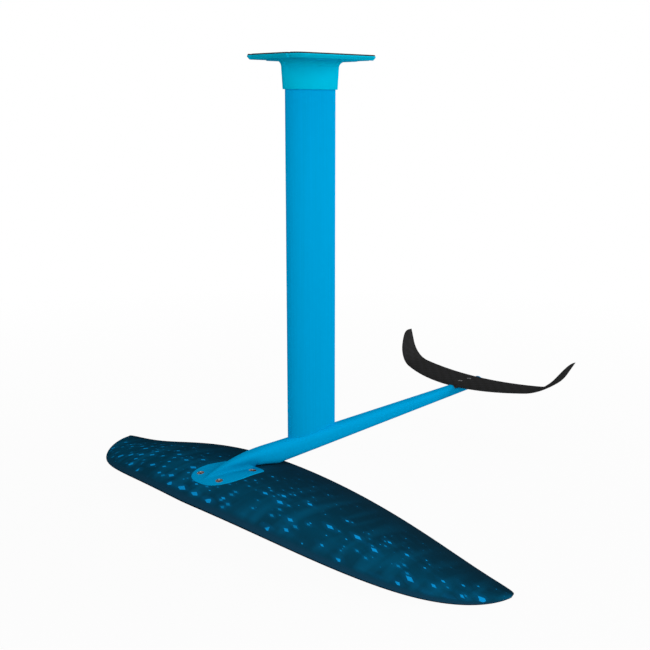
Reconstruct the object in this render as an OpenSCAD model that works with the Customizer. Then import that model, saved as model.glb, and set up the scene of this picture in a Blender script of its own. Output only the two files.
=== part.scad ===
// Hydrofoil set: a slotted head plate, a hollow mast, a fuselage, a front wing and a stabiliser.
// X points forward, Y to port and Z up. The origin is the middle of the board bolts, on top of the pad.

/* [Head plate] */
// Length of the plate along the board
plate_length = 192; // [186:1:230]
// Width of the plate across the board
plate_width = 128; // [122:1:150]
// Radius of the plate's corners
plate_corner_r = 20; // [14:1:34]
// Thickness of the plate
plate_thick = 6.4; // [6:0.2:12]
// How far the edge slopes inwards on its way down
plate_bevel = 3.5; // [1:0.5:5]
// Height of the upright band above that slope
plate_band = 2; // [1:0.5:4]
// Length of the raised boss under the plate
boss_length = 144; // [136:1:145]
// Width of the raised boss under the plate
boss_width = 96; // [60:1:110]
// Thickness of the raised boss
boss_thick = 1.8; // [0.8:0.2:4]
// Thickness of the rubber pad on the plate
pad_thick = 2; // [0.8:0.2:3]
// Distance from the plate's edge to the pad's edge
pad_inset = 1; // [0.5:0.5:6]

/* [Board bolts] */
// Spacing of the board bolts along the board
bolt_spacing_x = 165; // [150:1:168]
// Spacing of the board bolts across the board
bolt_spacing_y = 90; // [80:1:94]
// Width of the slots for the board bolts
slot_width = 9; // [8.4:0.1:10]
// Length of a slot from end to end
slot_length = 20; // [14:1:24]
// Width of the mouth that opens a slot through the plate's edge
slot_mouth = 8.2; // [7:0.1:8.3]

/* [Collar] */
// Height of the collar below the plate
collar_height = 47; // [35:0.5:70]
// Wall of the collar at its lower rim
collar_wall = 3.6; // [2.5:0.1:6]
// Extra wall of the collar at its top, from the casting's draft
collar_draft = 2.1; // [0.5:0.1:4]
// Radius of the fillet between collar and plate
collar_fillet = 10; // [4:1:14]

/* [Mast] */
// Length of the mast from end to end
mast_length = 645.5; // [400:0.5:1000]
// Chord of the mast
mast_chord = 114.5; // [100:0.5:130]
// Greatest thickness of the mast
mast_thick = 16.6; // [15.5:0.1:20]
// Thickness of the mast's rear edge
mast_edge = 3; // [2:0.2:5]
// Wall of the hollow mast
mast_wall = 2.2; // [1.8:0.1:2.4]
// Thickness of the two webs inside the mast
mast_web = 2.5; // [1.5:0.1:4]
// Front edge of the mast to the front web
front_web = 19; // [15:0.5:21]
// Front edge of the mast to the rear web
rear_web = 75; // [70:0.5:80]
// Middle of the mast ahead of the middle of the plate
mast_x = 3; // [-6:0.5:6]
// Height of the tapped blocks in the mast
block_height = 45; // [35:1:70]
// Height of the foam plugs in the mast
plug_height = 20; // [10:1:40]

/* [Mast screws] */
// Front edge of the mast to the first screw
mast_screw_set = 30; // [28:0.5:34]
// Distance between the two screws
mast_screw_gap = 30; // [20:0.5:31]
// Thread diameter of the mast screws
mast_screw_d = 8; // [6:0.5:8]
// Length of the screws through the plate
head_screw_length = 40; // [30:1:45]
// Length of the screws through the fuselage
foot_screw_length = 42; // [35:1:50]

/* [Fuselage] */
// Depth of the pocket that takes the mast
pocket_depth = 9.5; // [6:0.5:14]
// Width of the fuselage at the mast
fuse_width = 28; // [25:0.5:36]
// Height of the fuselage at the mast
fuse_height = 33.7; // [31:0.1:40]
// Width of the fuselage at its tail
tail_width = 19; // [16:0.5:24]
// Tail end of the fuselage behind the middle of the plate
tail_reach = 489; // [486:1:494]
// Rise of the fuselage's top from the mast to the tail
top_rise = 4.4; // [0:0.2:5]
// Rise of the fuselage's belly from the mast to the tail
belly_rise = 20; // [16:0.5:21]

/* [Flange] */
// Front edge of the flange ahead of the middle of the plate
flange_front = 257; // [256:0.5:262]
// Rear edge of the flange ahead of the middle of the plate
flange_rear = 145; // [138:0.5:150]
// Greatest width of the flange
flange_width = 90; // [80:1:100]
// Front edge of the flange to the nose of the fuselage
nose_set = 8; // [3:0.5:16]
// Width of the flange at its rear edge
flange_rear_width = 76; // [70:1:80]
// Radius of the flange's rear corners
flange_corner_r = 9; // [2:0.5:12]
// Depth of the flange's seat below the wing's crest
flange_depth = 8; // [7.5:0.1:10]
// Distance between the front and rear wing screws
wing_screw_x = 70.6; // [64:0.2:74]
// Distance between the port and starboard wing screws
wing_screw_y = 48.4; // [40:0.2:54]
// Rear edge of the flange to the rear wing screws
wing_screw_set = 17.6; // [15:0.2:20]
// Thread diameter of the wing screws
wing_screw_d = 6; // [5:0.5:6]
// Length of the wing screws
wing_screw_length = 14; // [12:0.5:14]

/* [Front wing] */
// Span of the front wing
wing_span = 962; // [700:2:1200]
// Chord of the front wing at its middle
wing_chord = 234.9; // [228:0.1:240]
// Rear edge of the wing ahead of the middle of the plate
wing_rear = 57.5; // [54:0.1:60]
// Droop of the wing tips below the middle
wing_droop = 75; // [0:1:90]
// Forward sweep of the rear edge at the tips
wing_tip_sweep = 8.8; // [0:0.1:14]
// Lift of the front edge at the tips
wing_tip_front_lift = 6.6; // [0:0.1:12]
// Lift of the rear edge at the tips
wing_tip_rear_lift = 10.3; // [0:0.1:16]
// Thickness of the wing as a share of its chord
wing_thickness_ratio = 0.13; // [0.12:0.005:0.15]
// Camber of the wing as a share of its chord
wing_camber_ratio = 0.04; // [0.035:0.001:0.045]
// Thickness of the wing's rear edge
wing_edge = 1.2; // [0.8:0.1:2]
// Wing's chord line below the top of the fuselage
wing_drop = 46.9; // [46:0.1:50]
// Thickness of the wing's laminate
wing_skin = 1.6; // [1:0.1:2]
// Height of the hard block in the wing
wing_block_height = 13; // [12:0.5:14]
// Outer diameter of the threaded bushes in the block
wing_bush_d = 10; // [9:0.5:12]
// Length of the threaded bushes
wing_bush_length = 11; // [10.5:0.5:11.5]

/* [Stabiliser] */
// Chord of the stabiliser at its middle
stab_chord = 89.6; // [88:0.1:94]
// Rear edge of the stabiliser to the tail end of the fuselage
stab_tail_gap = 6.2; // [5:0.1:9]
// Stabiliser's chord line above the top of the fuselage at the mast
stab_lift = 2.6; // [2:0.1:3.5]
// Half length of the stabiliser's nearly flat middle
stab_flat = 147.6; // [120:0.1:180]
// Tilt where the flat middle ends and the raised tip begins
stab_dihedral = 5; // [2:0.1:8]
// Radius of the bend into the raised tip
stab_bend_r = 64; // [50:1:100]
// Tilt of the raised tip at its end
stab_tip_tilt = 62.3; // [40:0.1:85]
// Length of the stabiliser's straight tip beyond the bend
stab_tip_length = 28.4; // [10:0.1:50]
// Sweep of the stabiliser's front edge out to the tip
stab_front_sweep = 77.7; // [70:0.1:90]
// Sweep of the stabiliser's rear edge out to the tip
stab_rear_sweep = 31.4; // [20:0.1:45]
// Thickness of the stabiliser as a share of its chord
stab_thickness_ratio = 0.095; // [0.09:0.005:0.11]
// Thickness of the stabiliser's rear edge
stab_edge = 0.8; // [0.6:0.1:1.2]
// Thickness of the stabiliser's laminate
stab_skin = 1.2; // [0.8:0.1:1.4]
// Thickness of the saddle under the stabiliser at its thinnest
saddle_thick = 1.2; // [0.8:0.1:2]
// Front edge of the stabiliser to the first screw
stab_screw_set = 30; // [28:0.5:36]
// Distance between the two stabiliser screws
stab_screw_gap = 29; // [24:0.5:32]
// Thread diameter of the stabiliser screws
stab_screw_d = 5; // [4:0.5:5]
// Length of the stabiliser screws
stab_screw_length = 14; // [12:0.5:14.5]
// Outer diameter of the threaded bushes in the tail
stab_bush_d = 8; // [7:0.5:9]
// Length of the threaded bushes in the tail
stab_bush_length = 8; // [8:0.2:9]
// Width of the hard block in the stabiliser
stab_block_width = 30; // [24:1:40]

/* [Hidden] */

// Clearances: a sliding fit, a screw in its hole, a thread, a bonded joint and a bedded seat
slide_fit = 0.15;
hole_fit = 0.3;
thread_fit = 0.1;
bond_line = 0.2;
bed_gap = 0.3;
// Extra depth that lets a cut run clear through a face
through = 20;
round_fn = 64;

// Heights that follow from the stack under the board
plate_top_z = -pad_thick;
plate_under_z = plate_top_z - plate_thick;
boss_under_z = plate_under_z - boss_thick;
collar_rim_z = plate_under_z - collar_height;
mast_top_z = plate_under_z;
mast_foot_z = mast_top_z - mast_length;
fuse_top_z = mast_foot_z + pocket_depth;
wing_z = fuse_top_z - wing_drop;
stab_z = fuse_top_z + stab_lift;
stab_rear = tail_reach - stab_tail_gap;
stab_front = stab_rear - stab_chord;
mast_front_x = mast_x + mast_chord / 2;
nose_reach = flange_front - nose_set;
mast_screw_xs = [mast_front_x - mast_screw_set, mast_front_x - mast_screw_set - mast_screw_gap];

// Half thickness of a smooth foil, for a thickness of 1 and a place from 0 (front) to 1 (rear)
foil_terms = [1.4845, -0.63, -1.758, 1.4215, -0.518];
function foil_half(u) =
    foil_terms[0] * sqrt(u) + foil_terms[1] * u + foil_terms[2] * u ^ 2
    + foil_terms[3] * u ^ 3 + foil_terms[4] * u ^ 4;

// Height of the camber line, for a camber of 1, highest at camber_peak_ratio
camber_peak_ratio = 0.4;
function camber_line(u) =
    u < camber_peak_ratio
    ? (2 * camber_peak_ratio * u - u ^ 2) / camber_peak_ratio ^ 2
    : (1 - 2 * camber_peak_ratio + 2 * camber_peak_ratio * u - u ^ 2) / (1 - camber_peak_ratio) ^ 2;

// Closed skin over a stack of rings that have the same number of points. Where a ring runs back on itself,
// from the point "fold" on, facing panels are split alike and each end is closed in strips across the ring.
function flipped(faces) = [for (f = faces) [for (k = [len(f) - 1 : -1 : 0]) f[k]]];
function panel(a, b, c, d, other) = other ? [[a, b, d], [b, c, d]] : [[a, b, c], [a, c, d]];
function end_faces(points, fold) =
    fold >= points
    ? [[for (j = [0 : points - 1]) j]]
    : let (odd = points % 2)
    concat(
        odd == 1 ? [[0, 1, points - 1]] : [],
        [for (k = [odd : fold - 2]) [k, k + 1, points - 2 + odd - k, points - 1 + odd - k]]
    );
function loft_faces(rings, points, fold) = concat(
    [for (i = [0 : rings - 2]) for (j = [0 : points - 1])
        let (next = (j + 1) % points)
        each panel(i * points + j, i * points + next,
            (i + 1) * points + next, (i + 1) * points + j, j >= fold)],
    flipped(end_faces(points, fold)),
    [for (f = end_faces(points, fold)) [for (j = f) (rings - 1) * points + j]]
);
module loft(rings, flip = false, fold = 1000) {
    faces = loft_faces(len(rings), len(rings[0]), fold);
    polyhedron(points = [for (ring = rings) each ring], faces = flip ? flipped(faces) : faces, convexity = 8);
}

// Outline grown outwards by a distance, point by point along its own normals
function outward(points, i) =
    let (n = len(points), way = points[(i + 1) % n] - points[(i + n - 1) % n])
    [way[1], -way[0]] / norm(way);
function grown(points, distance) =
    [for (i = [0 : len(points) - 1]) points[i] + distance * outward(points, i)];
function lifted(points, z) = [for (p = points) [p[0], p[1], z]];

// Rectangle with round corners, in true arcs
module rounded_plate(length, width, corner_r, height) {
    for (swap = [0, 1])
        translate([swap * corner_r - length / 2, (1 - swap) * corner_r - width / 2, 0])
            cube([length - 2 * swap * corner_r, width - 2 * (1 - swap) * corner_r, height]);
    for (sx = [-1, 1], sy = [-1, 1])
        translate([sx * (length / 2 - corner_r), sy * (width / 2 - corner_r), 0])
            cylinder(r = corner_r, h = height, $fn = round_fn);
}

// Countersunk screw with a hex socket, hanging down from its head's top at the origin
head_ratio = 0.95;
head_cone = 0.55;
socket_ratio = 0.36;
module countersunk_screw(d, length) {
    head_r = head_ratio * d;
    head_h = head_cone * d;
    difference() {
        rotate_extrude($fn = round_fn)
            polygon([
                [0, 0], [head_r, 0], [head_r, -d / 20], [d / 2, -head_h],
                [d / 2, d / 10 - length], [d * 0.4, -length], [0, -length]
            ]);
        translate([0, 0, -d / 3])
            cylinder(r = socket_ratio * d, h = d, $fn = 6);
    }
}
// Hole for such a screw: shank, cone and a straight mouth above the head
module countersunk_hole(d, depth) {
    head_r = head_ratio * d + hole_fit;
    head_h = head_cone * d;
    translate([0, 0, -depth])
        cylinder(r = d / 2 + hole_fit, h = depth, $fn = round_fn);
    translate([0, 0, -head_h - hole_fit])
        cylinder(r1 = d / 2 + hole_fit, r2 = head_r, h = head_h, $fn = round_fn);
    translate([0, 0, -hole_fit])
        cylinder(r = head_r, h = through, $fn = round_fn);
}
// Cap screw with a hex socket, standing up from the underside of its head at the origin
module cap_screw(d, length) {
    difference() {
        union() {
            translate([0, 0, -d])
                cylinder(r = 0.8 * d, h = d, $fn = round_fn);
            cylinder(r = d / 2, h = length, $fn = round_fn);
        }
        translate([0, 0, -d - d / 2])
            cylinder(r = 0.42 * d, h = d, $fn = 6);
    }
}
// Threaded bush, hanging down from its top face at the origin
module bush(outer_d, thread_d, length) {
    translate([0, 0, -length])
        difference() {
            cylinder(d = outer_d, h = length, $fn = round_fn);
            translate([0, 0, -through / 2])
                cylinder(r = thread_d / 2 + thread_fit, h = length + through, $fn = round_fn);
        }
}

// Mast section: half thickness at a place, with the rear edge rounded over
edge_power = 40;
function mast_half(u) = (mast_thick * foil_half(u) + mast_edge / 2 * u) * sqrt(1 - u ^ edge_power);
mast_side_count = 48;
mast_outline = [for (k = [0 : mast_side_count - 1])
    let (a = 360 * k / mast_side_count, u = (1 - cos(a)) / 2)
    [mast_front_x - mast_chord * u, (a <= 180 ? 1 : -1) * mast_half(u)]];

// Hollow cell of the mast between two places behind its front edge, inside a given wall
cell_step_count = 10;
function cell_outline(from, to, wall) =
    let (us = [for (k = [0 : cell_step_count]) (from + (to - from) * k / cell_step_count) / mast_chord])
    concat(
        [for (u = us) [mast_front_x - mast_chord * u, wall - mast_half(u)]],
        [for (k = [cell_step_count : -1 : 0]) [mast_front_x - mast_chord * us[k], mast_half(us[k]) - wall]]
    );
cell_start = 6;
cell_end = 103;
web_half = mast_web / 2;
front_cell = [cell_start, front_web - web_half];
middle_cell = [front_web + web_half, rear_web - web_half];
rear_cell = [rear_web + web_half, cell_end];
module mast_cell(cell, wall, z, height, shrink = 0) {
    translate([0, 0, z])
        linear_extrude(height)
            polygon(cell_outline(cell[0] + shrink, cell[1] - shrink, wall + shrink));
}

module board_slots(z, height) {
    slot_r = slot_width / 2;
    reach = slot_length / 2 - slot_r;
    for (sx = [-1, 1], sy = [-1, 1])
        translate([sx * bolt_spacing_x / 2, sy * bolt_spacing_y / 2, z]) {
            for (end = [-1, 1])
                translate([end * reach, 0, 0])
                    cylinder(r = slot_r, h = height, $fn = round_fn);
            translate([-reach, -slot_r, 0])
                cube([2 * reach, slot_width, height]);
            translate([sx > 0 ? 0 : -plate_length, -slot_mouth / 2, 0])
                cube([plate_length, slot_mouth, height]);
        }
}

module head_pad() {
    access_r = head_ratio * mast_screw_d + 1;
    color("#1b1c1e")
        difference() {
            translate([0, 0, plate_top_z])
                rounded_plate(plate_length - 2 * pad_inset, plate_width - 2 * pad_inset,
                    plate_corner_r - pad_inset, pad_thick);
            board_slots(plate_top_z - through / 2, through);
            for (x = mast_screw_xs)
                translate([x, 0, plate_top_z - through / 2])
                    cylinder(r = access_r, h = through, $fn = round_fn);
        }
}

// Rings of the collar from the plate down to its rim: the fillet runs into a drafted wall
fillet_step_count = 6;
fillet_z = boss_under_z - collar_fillet;
collar_rings = concat(
    [lifted(grown(mast_outline, collar_wall + collar_draft + collar_fillet), plate_under_z + 1)],
    [for (k = [fillet_step_count : -1 : 0])
        let (a = 90 * k / fillet_step_count)
        lifted(grown(mast_outline, collar_wall + collar_draft + collar_fillet * (1 - cos(a))),
            fillet_z + collar_fillet * sin(a))],
    [lifted(grown(mast_outline, collar_wall), collar_rim_z)]
);

module head_plate() {
    lower = 2 * plate_bevel;
    slice = 0.01;
    color("#00b4dc")
        difference() {
            union() {
                translate([0, 0, plate_top_z - plate_band])
                    rounded_plate(plate_length, plate_width, plate_corner_r, plate_band);
                hull() {
                    translate([0, 0, plate_top_z - plate_band])
                        rounded_plate(plate_length, plate_width, plate_corner_r, slice, $fn = 32);
                    translate([0, 0, plate_under_z])
                        rounded_plate(plate_length - lower, plate_width - lower,
                            plate_corner_r - plate_bevel, slice, $fn = 32);
                }
                translate([0, 0, boss_under_z])
                    rounded_plate(boss_length, boss_width, boss_width / 4, boss_thick + 1);
                loft(collar_rings);
            }
            translate([0, 0, collar_rim_z - through])
                linear_extrude(plate_under_z - collar_rim_z + through)
                    polygon(grown(mast_outline, slide_fit));
            board_slots(boss_under_z - through / 2, through);
            for (x = mast_screw_xs)
                translate([x, 0, plate_top_z])
                    countersunk_hole(mast_screw_d, through);
        }
}

module head_screws() {
    color("#a9adb2")
        for (x = mast_screw_xs)
            translate([x, 0, plate_top_z])
                countersunk_screw(mast_screw_d, head_screw_length);
}

module mast_extrusion() {
    color("#0096d2")
        difference() {
            translate([0, 0, mast_foot_z])
                linear_extrude(mast_length)
                    polygon(mast_outline);
            for (cell = [front_cell, middle_cell, rear_cell])
                mast_cell(cell, mast_wall, mast_foot_z - through, mast_length + 2 * through);
        }
}

// Block in the mast's middle cell, tapped for the two mast screws
module tapped_block(z) {
    color("#b9bdc2")
        difference() {
            mast_cell(middle_cell, mast_wall, z, block_height, bond_line);
            for (x = mast_screw_xs)
                translate([x, 0, z - through / 2])
                    cylinder(r = mast_screw_d / 2 + thread_fit, h = block_height + through, $fn = round_fn);
        }
}
module mast_head_block() {
    tapped_block(mast_top_z - block_height);
}
module mast_foot_block() {
    tapped_block(mast_foot_z);
}
module mast_cell_plugs() {
    color("#3a3d42")
        for (z = [mast_foot_z, mast_top_z - plug_height], cell = [front_cell, rear_cell])
            mast_cell(cell, mast_wall, z, plug_height, bond_line);
}

// Mast screws rise from counterbores in the fuselage's belly
counterbore_depth = mast_screw_d + 2;
function belly_line(x) = fuse_top_z - fuse_height + belly_rise * (mast_x - x) / (mast_x + tail_reach);
function mast_screw_seat(x) = belly_line(x) + counterbore_depth;
module mast_screws() {
    color("#a9adb2")
        for (x = mast_screw_xs)
            translate([x, 0, mast_screw_seat(x)])
                cap_screw(mast_screw_d, foot_screw_length);
}

// A lifting surface is a row of stations: front edge, chord, side, height, tilt and rise from front to rear
function surface_point(station, u, height) = [
    station[0] - u * station[1],
    station[2] - height * sin(station[4]),
    station[3] + u * station[5] + height * cos(station[4])
];
// A section has a thickness share, a camber share and a rear edge's thickness
function section_half(section, chord, u) = section[0] * chord * foil_half(u) + section[2] * u / 2;
function section_camber(section, chord, u) = section[1] * chord * camber_line(u);
// Places along the chord, close together where the front edge is round
chord_places = [
    0, 0.004, 0.015, 0.035, 0.065, 0.1, 0.16, 0.24, 0.33, 0.43, 0.53, 0.63, 0.73, 0.82, 0.9, 0.96, 1
];
last_place_index = len(chord_places) - 1;
// The foam core fills the places from core_first_index to core_last_index
core_first_index = 5;
core_last_index = 12;
function hollow_half(section, chord, k, skin, cored) =
    cored && k >= core_first_index && k <= core_last_index
    ? max(section_half(section, chord, chord_places[k]) - skin, 0)
    : 0;
// Bond line at a station, thinner where the tip itself is thin
function bond_half(section, chord) = min(bond_line / 2, section[0] * chord / 40);
function skin_ring(station, section, skin, cored, side) =
    let (chord = station[1], bond = bond_half(section, chord))
    concat(
        [for (u = chord_places)
            surface_point(station, u,
                section_camber(section, chord, u) + side * section_half(section, chord, u))],
        [for (k = [last_place_index : -1 : 1])
            surface_point(station, chord_places[k],
                section_camber(section, chord, chord_places[k])
                + side * (bond + hollow_half(section, chord, k, skin, cored)))]
    );
function core_ring(station, section, skin) =
    let (chord = station[1])
    [for (side = [1, -1]) for (k = [core_first_index : core_last_index])
        let (place = side > 0 ? k : core_first_index + core_last_index - k, u = chord_places[place])
        surface_point(station, u,
            section_camber(section, chord, u)
            + side * (hollow_half(section, chord, place, skin, true) - bond_line / 2))];
module half_skin(stations, section, skin, core_count, side) {
    middle = (len(stations) - 1) / 2;
    loft([for (i = [0 : len(stations) - 1])
        skin_ring(stations[i], section, skin, abs(i - middle) <= core_count, side)],
        flip = side < 0, fold = last_place_index + 1);
}
module foam_core(stations, section, skin, core_count) {
    middle = (len(stations) - 1) / 2;
    loft([for (i = [middle - core_count : middle + core_count]) core_ring(stations[i], section, skin)],
        fold = core_last_index - core_first_index + 1);
}

// Front wing: planform, droop and stations from starboard tip to port tip
wing_section = [wing_thickness_ratio, wing_camber_ratio, wing_edge];
wing_station_count = 14;
wing_core_count = 10;
// Station nearest the tip, as a share of the half span
wing_last_ratio = 0.9995;
// Powers of the front edge's curve: fullness towards the tip and roundness of the tip
wing_fullness_power = 1.592;
wing_tip_power = 0.529;
// Bulge of the rear edge, how fast it comes and goes along the span, and the rounding of its outer end
wing_rear_bulge = 11.1;
wing_rear_wave_angle = 138.1;
wing_rear_round = 8.9;
wing_rear_round_power = 20.5;
// The tip begins at this share of the half span and lifts and sweeps more and more towards its end
wing_tip_start_ratio = 0.7;
function tip_share(share) = (max(share - wing_tip_start_ratio, 0) / (1 - wing_tip_start_ratio)) ^ 3;
function wing_rear_x(share) =
    wing_rear - wing_rear_bulge * sin(wing_rear_wave_angle * share) ^ 2
    + wing_rear_round * (1 - sqrt(1 - share ^ wing_rear_round_power)) + wing_tip_sweep * tip_share(share);
function wing_front_x(share) =
    wing_rear_x(1)
    + (wing_rear + wing_chord - wing_rear_x(1)) * (1 - share ^ wing_fullness_power) ^ wing_tip_power;
function wing_drop_at(share) = wing_droop * (1.62 * share ^ 2 - 0.62 * share ^ 4);
function wing_station(i) =
    let (share = wing_last_ratio * sin(90 * abs(i) / wing_station_count))
    [wing_front_x(share), wing_front_x(share) - wing_rear_x(share), sign(i) * share * wing_span / 2,
        wing_z - wing_drop_at(share) + wing_tip_front_lift * tip_share(share), 0,
        (wing_tip_rear_lift - wing_tip_front_lift) * tip_share(share)];
wing_stations = [for (i = [-wing_station_count : wing_station_count]) wing_station(i)];
wing_front = wing_rear + wing_chord;
function wing_upper(x) =
    let (u = (wing_front - x) / wing_chord)
    wing_z + section_camber(wing_section, wing_chord, u) + section_half(wing_section, wing_chord, u);
// Height of the wing's upper face off its middle, where it falls straight to the next station
function wing_upper_at(x, y) =
    wing_upper(x) - abs(y) / abs(wing_station(1)[2]) * (wing_z - wing_station(1)[3]);
wing_crest_z = wing_upper(wing_front - 0.35 * wing_chord);
seat_z = wing_crest_z - flange_depth;
wing_screw_places = [for (dx = [0, 1], sy = [-1, 1])
    [flange_rear + wing_screw_set + dx * wing_screw_x, sy * wing_screw_y / 2]];
// Heads of the wing screws lie just under the flange's upper face
wing_head_sink = 0.8;
function wing_head_z(place) = wing_upper_at(place[0], place[1]) - wing_head_sink;

// Outline of the flange: a blunt oval nose, straight sides and a square rear with round corners
flange_power = 0.8;
flange_step_count = 10;
flange_widest = (flange_front + flange_rear) / 2;
function flange_side(grow) = concat(
    [for (k = [0 : flange_step_count])
        let (a = 90 * k / flange_step_count)
        [flange_widest + (flange_front - flange_widest + grow) * cos(a) ^ flange_power,
            (flange_width / 2 + grow) * sin(a) ^ flange_power]],
    [for (k = [0 : flange_step_count / 2])
        let (a = 90 + 180 * k / flange_step_count, r = flange_corner_r + grow)
        [flange_rear + flange_corner_r + r * cos(a), flange_rear_width / 2 - flange_corner_r + r * sin(a)]]
);
function flange_outline(grow) =
    let (side = flange_side(grow), n = len(side))
    concat(side, [for (k = [n - 1 : -1 : 1]) [side[k][0], -side[k][1]]]);
module flange_prism(grow, z, height) {
    translate([0, 0, z])
        linear_extrude(height)
            polygon(flange_outline(grow));
}

// Flange's solid: the wing's own upper face over the seat, so that both lie flush
function flange_ring(i) =
    let (station = wing_station(i), first = 3, last = 13)
    concat(
        [for (k = [first : last])
            let (u = chord_places[k])
            surface_point(station, u, section_camber(wing_section, station[1], u)
                + section_half(wing_section, station[1], u))],
        [for (k = [last, first])
            [station[0] - chord_places[k] * station[1], station[2], seat_z - through]]
    );
module flange() {
    intersection() {
        loft([for (i = [-1 : 1]) flange_ring(i)]);
        flange_prism(0, seat_z, 4 * through);
    }
}

// Fuselage: top and belly lines, half width and rounded sections along X
nose_start = 100;
nose_power = 2.36;
taper_start = 132;
taper_power = 1.6;
nose_top_z = wing_upper(nose_reach) + bed_gap;
function fuse_top(x) =
    x < mast_x
    ? fuse_top_z + top_rise * (mast_x - x) / (mast_x + tail_reach)
    : x < nose_start
    ? fuse_top_z
    : fuse_top_z - (fuse_top_z - nose_top_z) * ((x - nose_start) / (nose_reach - nose_start)) ^ nose_power;
function fuse_belly(x) =
    x > flange_rear
    ? seat_z + 1
    : x > wing_rear
    ? max(belly_line(x), wing_upper(x) + bed_gap)
    : belly_line(x);
tip_round = 5;
function tail_squeeze(x) =
    let (from_end = x + tail_reach)
    from_end >= tip_round ? 1 : 0.45 + 0.55 * sqrt(1 - (1 - from_end / tip_round) ^ 2);
function fuse_half_width(x) =
    x > taper_start
    ? fuse_width / 2 * (1 - 0.96 * ((x - taper_start) / (nose_reach - taper_start)) ^ taper_power)
    : x > mast_x
    ? fuse_width / 2
    : (fuse_width + (tail_width - fuse_width) * (mast_x - x) / (mast_x + tail_reach)) / 2 * tail_squeeze(x);
// Roundness of a section: lower numbers are rounder
top_round_power = 2.3;
belly_round_power = 3;
fuse_side_count = 28;
function fuse_ring(x) =
    let (
        top = fuse_top(x),
        half = (top - fuse_belly(x)) / 2 * (x < mast_x ? tail_squeeze(x) : 1),
        middle = (top + fuse_belly(x)) / 2,
        wide = fuse_half_width(x)
    )
    [for (k = [0 : fuse_side_count - 1])
        let (
            a = 360 * (k + 0.5) / fuse_side_count,
            power = 2 / (a < 180 ? top_round_power : belly_round_power)
        )
        [x, wide * sign(cos(a)) * abs(cos(a)) ^ power, middle + half * sign(sin(a)) * abs(sin(a)) ^ power]];
step_gap = 0.3;
mast_clear = 60;
fuse_places = concat(
    [for (k = [0 : 4]) -tail_reach + tip_round * (1 - cos(22.5 * k))],
    [for (k = [1 : 6]) -tail_reach + tip_round + (mast_x - mast_clear + tail_reach - tip_round) * k / 6],
    [for (k = [1 : 3]) mast_x - mast_clear + (wing_rear + mast_clear - mast_x) * k / 3],
    [for (k = [1 : 7]) wing_rear + (flange_rear - bed_gap - wing_rear) * k / 7],
    [for (k = [0 : 11]) flange_rear + step_gap + (nose_reach - flange_rear - step_gap) * k / 11]
);
module fuse_body() {
    loft([for (x = fuse_places) fuse_ring(x)], flip = true);
}

// Tail: the stabiliser's saddle lies in a notch with a lip behind it
stab_screw_xs = [-stab_front - stab_screw_set, -stab_front - stab_screw_set - stab_screw_gap];
stab_half = stab_thickness_ratio * stab_chord / 2;
stab_seat_z = stab_z - stab_half - saddle_thick;
module tail_notch() {
    translate([-stab_rear - bed_gap, -tail_width, stab_seat_z])
        cube([stab_chord + 2 * bed_gap, 2 * tail_width, through]);
}

module fuselage() {
    color("#0096d6")
        difference() {
            union() {
                fuse_body();
                flange();
            }
            translate([0, 0, mast_foot_z])
                linear_extrude(3 * through)
                    polygon(grown(mast_outline, slide_fit));
            for (x = mast_screw_xs) {
                translate([x, 0, fuse_top_z - fuse_height - through])
                    cylinder(r = mast_screw_d / 2 + hole_fit, h = fuse_height + through, $fn = round_fn);
                translate([x, 0, mast_screw_seat(x) - through])
                    cylinder(r = 0.8 * mast_screw_d + hole_fit, h = through, $fn = round_fn);
            }
            for (place = wing_screw_places)
                translate([place[0], place[1], wing_head_z(place)])
                    countersunk_hole(wing_screw_d, through);
            tail_notch();
            for (x = stab_screw_xs)
                translate([x, 0, stab_seat_z - stab_bush_length])
                    cylinder(d = stab_bush_d + 2 * thread_fit, h = through, $fn = round_fn);
        }
}

module front_wing_upper_skin() {
    color("#0e2a40")
        difference() {
            half_skin(wing_stations, wing_section, wing_skin, wing_core_count, 1);
            flange_prism(bed_gap, wing_z - through, 4 * through);
        }
}
module front_wing_lower_skin() {
    color("#0b2236")
        half_skin(wing_stations, wing_section, wing_skin, wing_core_count, -1);
}
wing_block_z = seat_z - wing_block_height;
module front_wing_core() {
    color("#e8e2cf")
        difference() {
            foam_core(wing_stations, wing_section, wing_skin, wing_core_count);
            flange_prism(bed_gap, wing_block_z - bond_line, 4 * through);
        }
}
module front_wing_block() {
    color("#b8a878")
        difference() {
            flange_prism(0, wing_block_z, wing_block_height);
            for (place = wing_screw_places)
                translate([place[0], place[1], seat_z - wing_bush_length])
                    cylinder(d = wing_bush_d + 2 * thread_fit, h = through, $fn = round_fn);
        }
}
module front_wing_bushes() {
    color("#9a9ea4")
        for (place = wing_screw_places)
            translate([place[0], place[1], seat_z])
                bush(wing_bush_d, wing_screw_d, wing_bush_length);
}
module front_wing_screws() {
    color("#5a4238")
        for (place = wing_screw_places)
            translate([place[0], place[1], wing_head_z(place)])
                countersunk_screw(wing_screw_d, wing_screw_length);
}

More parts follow.
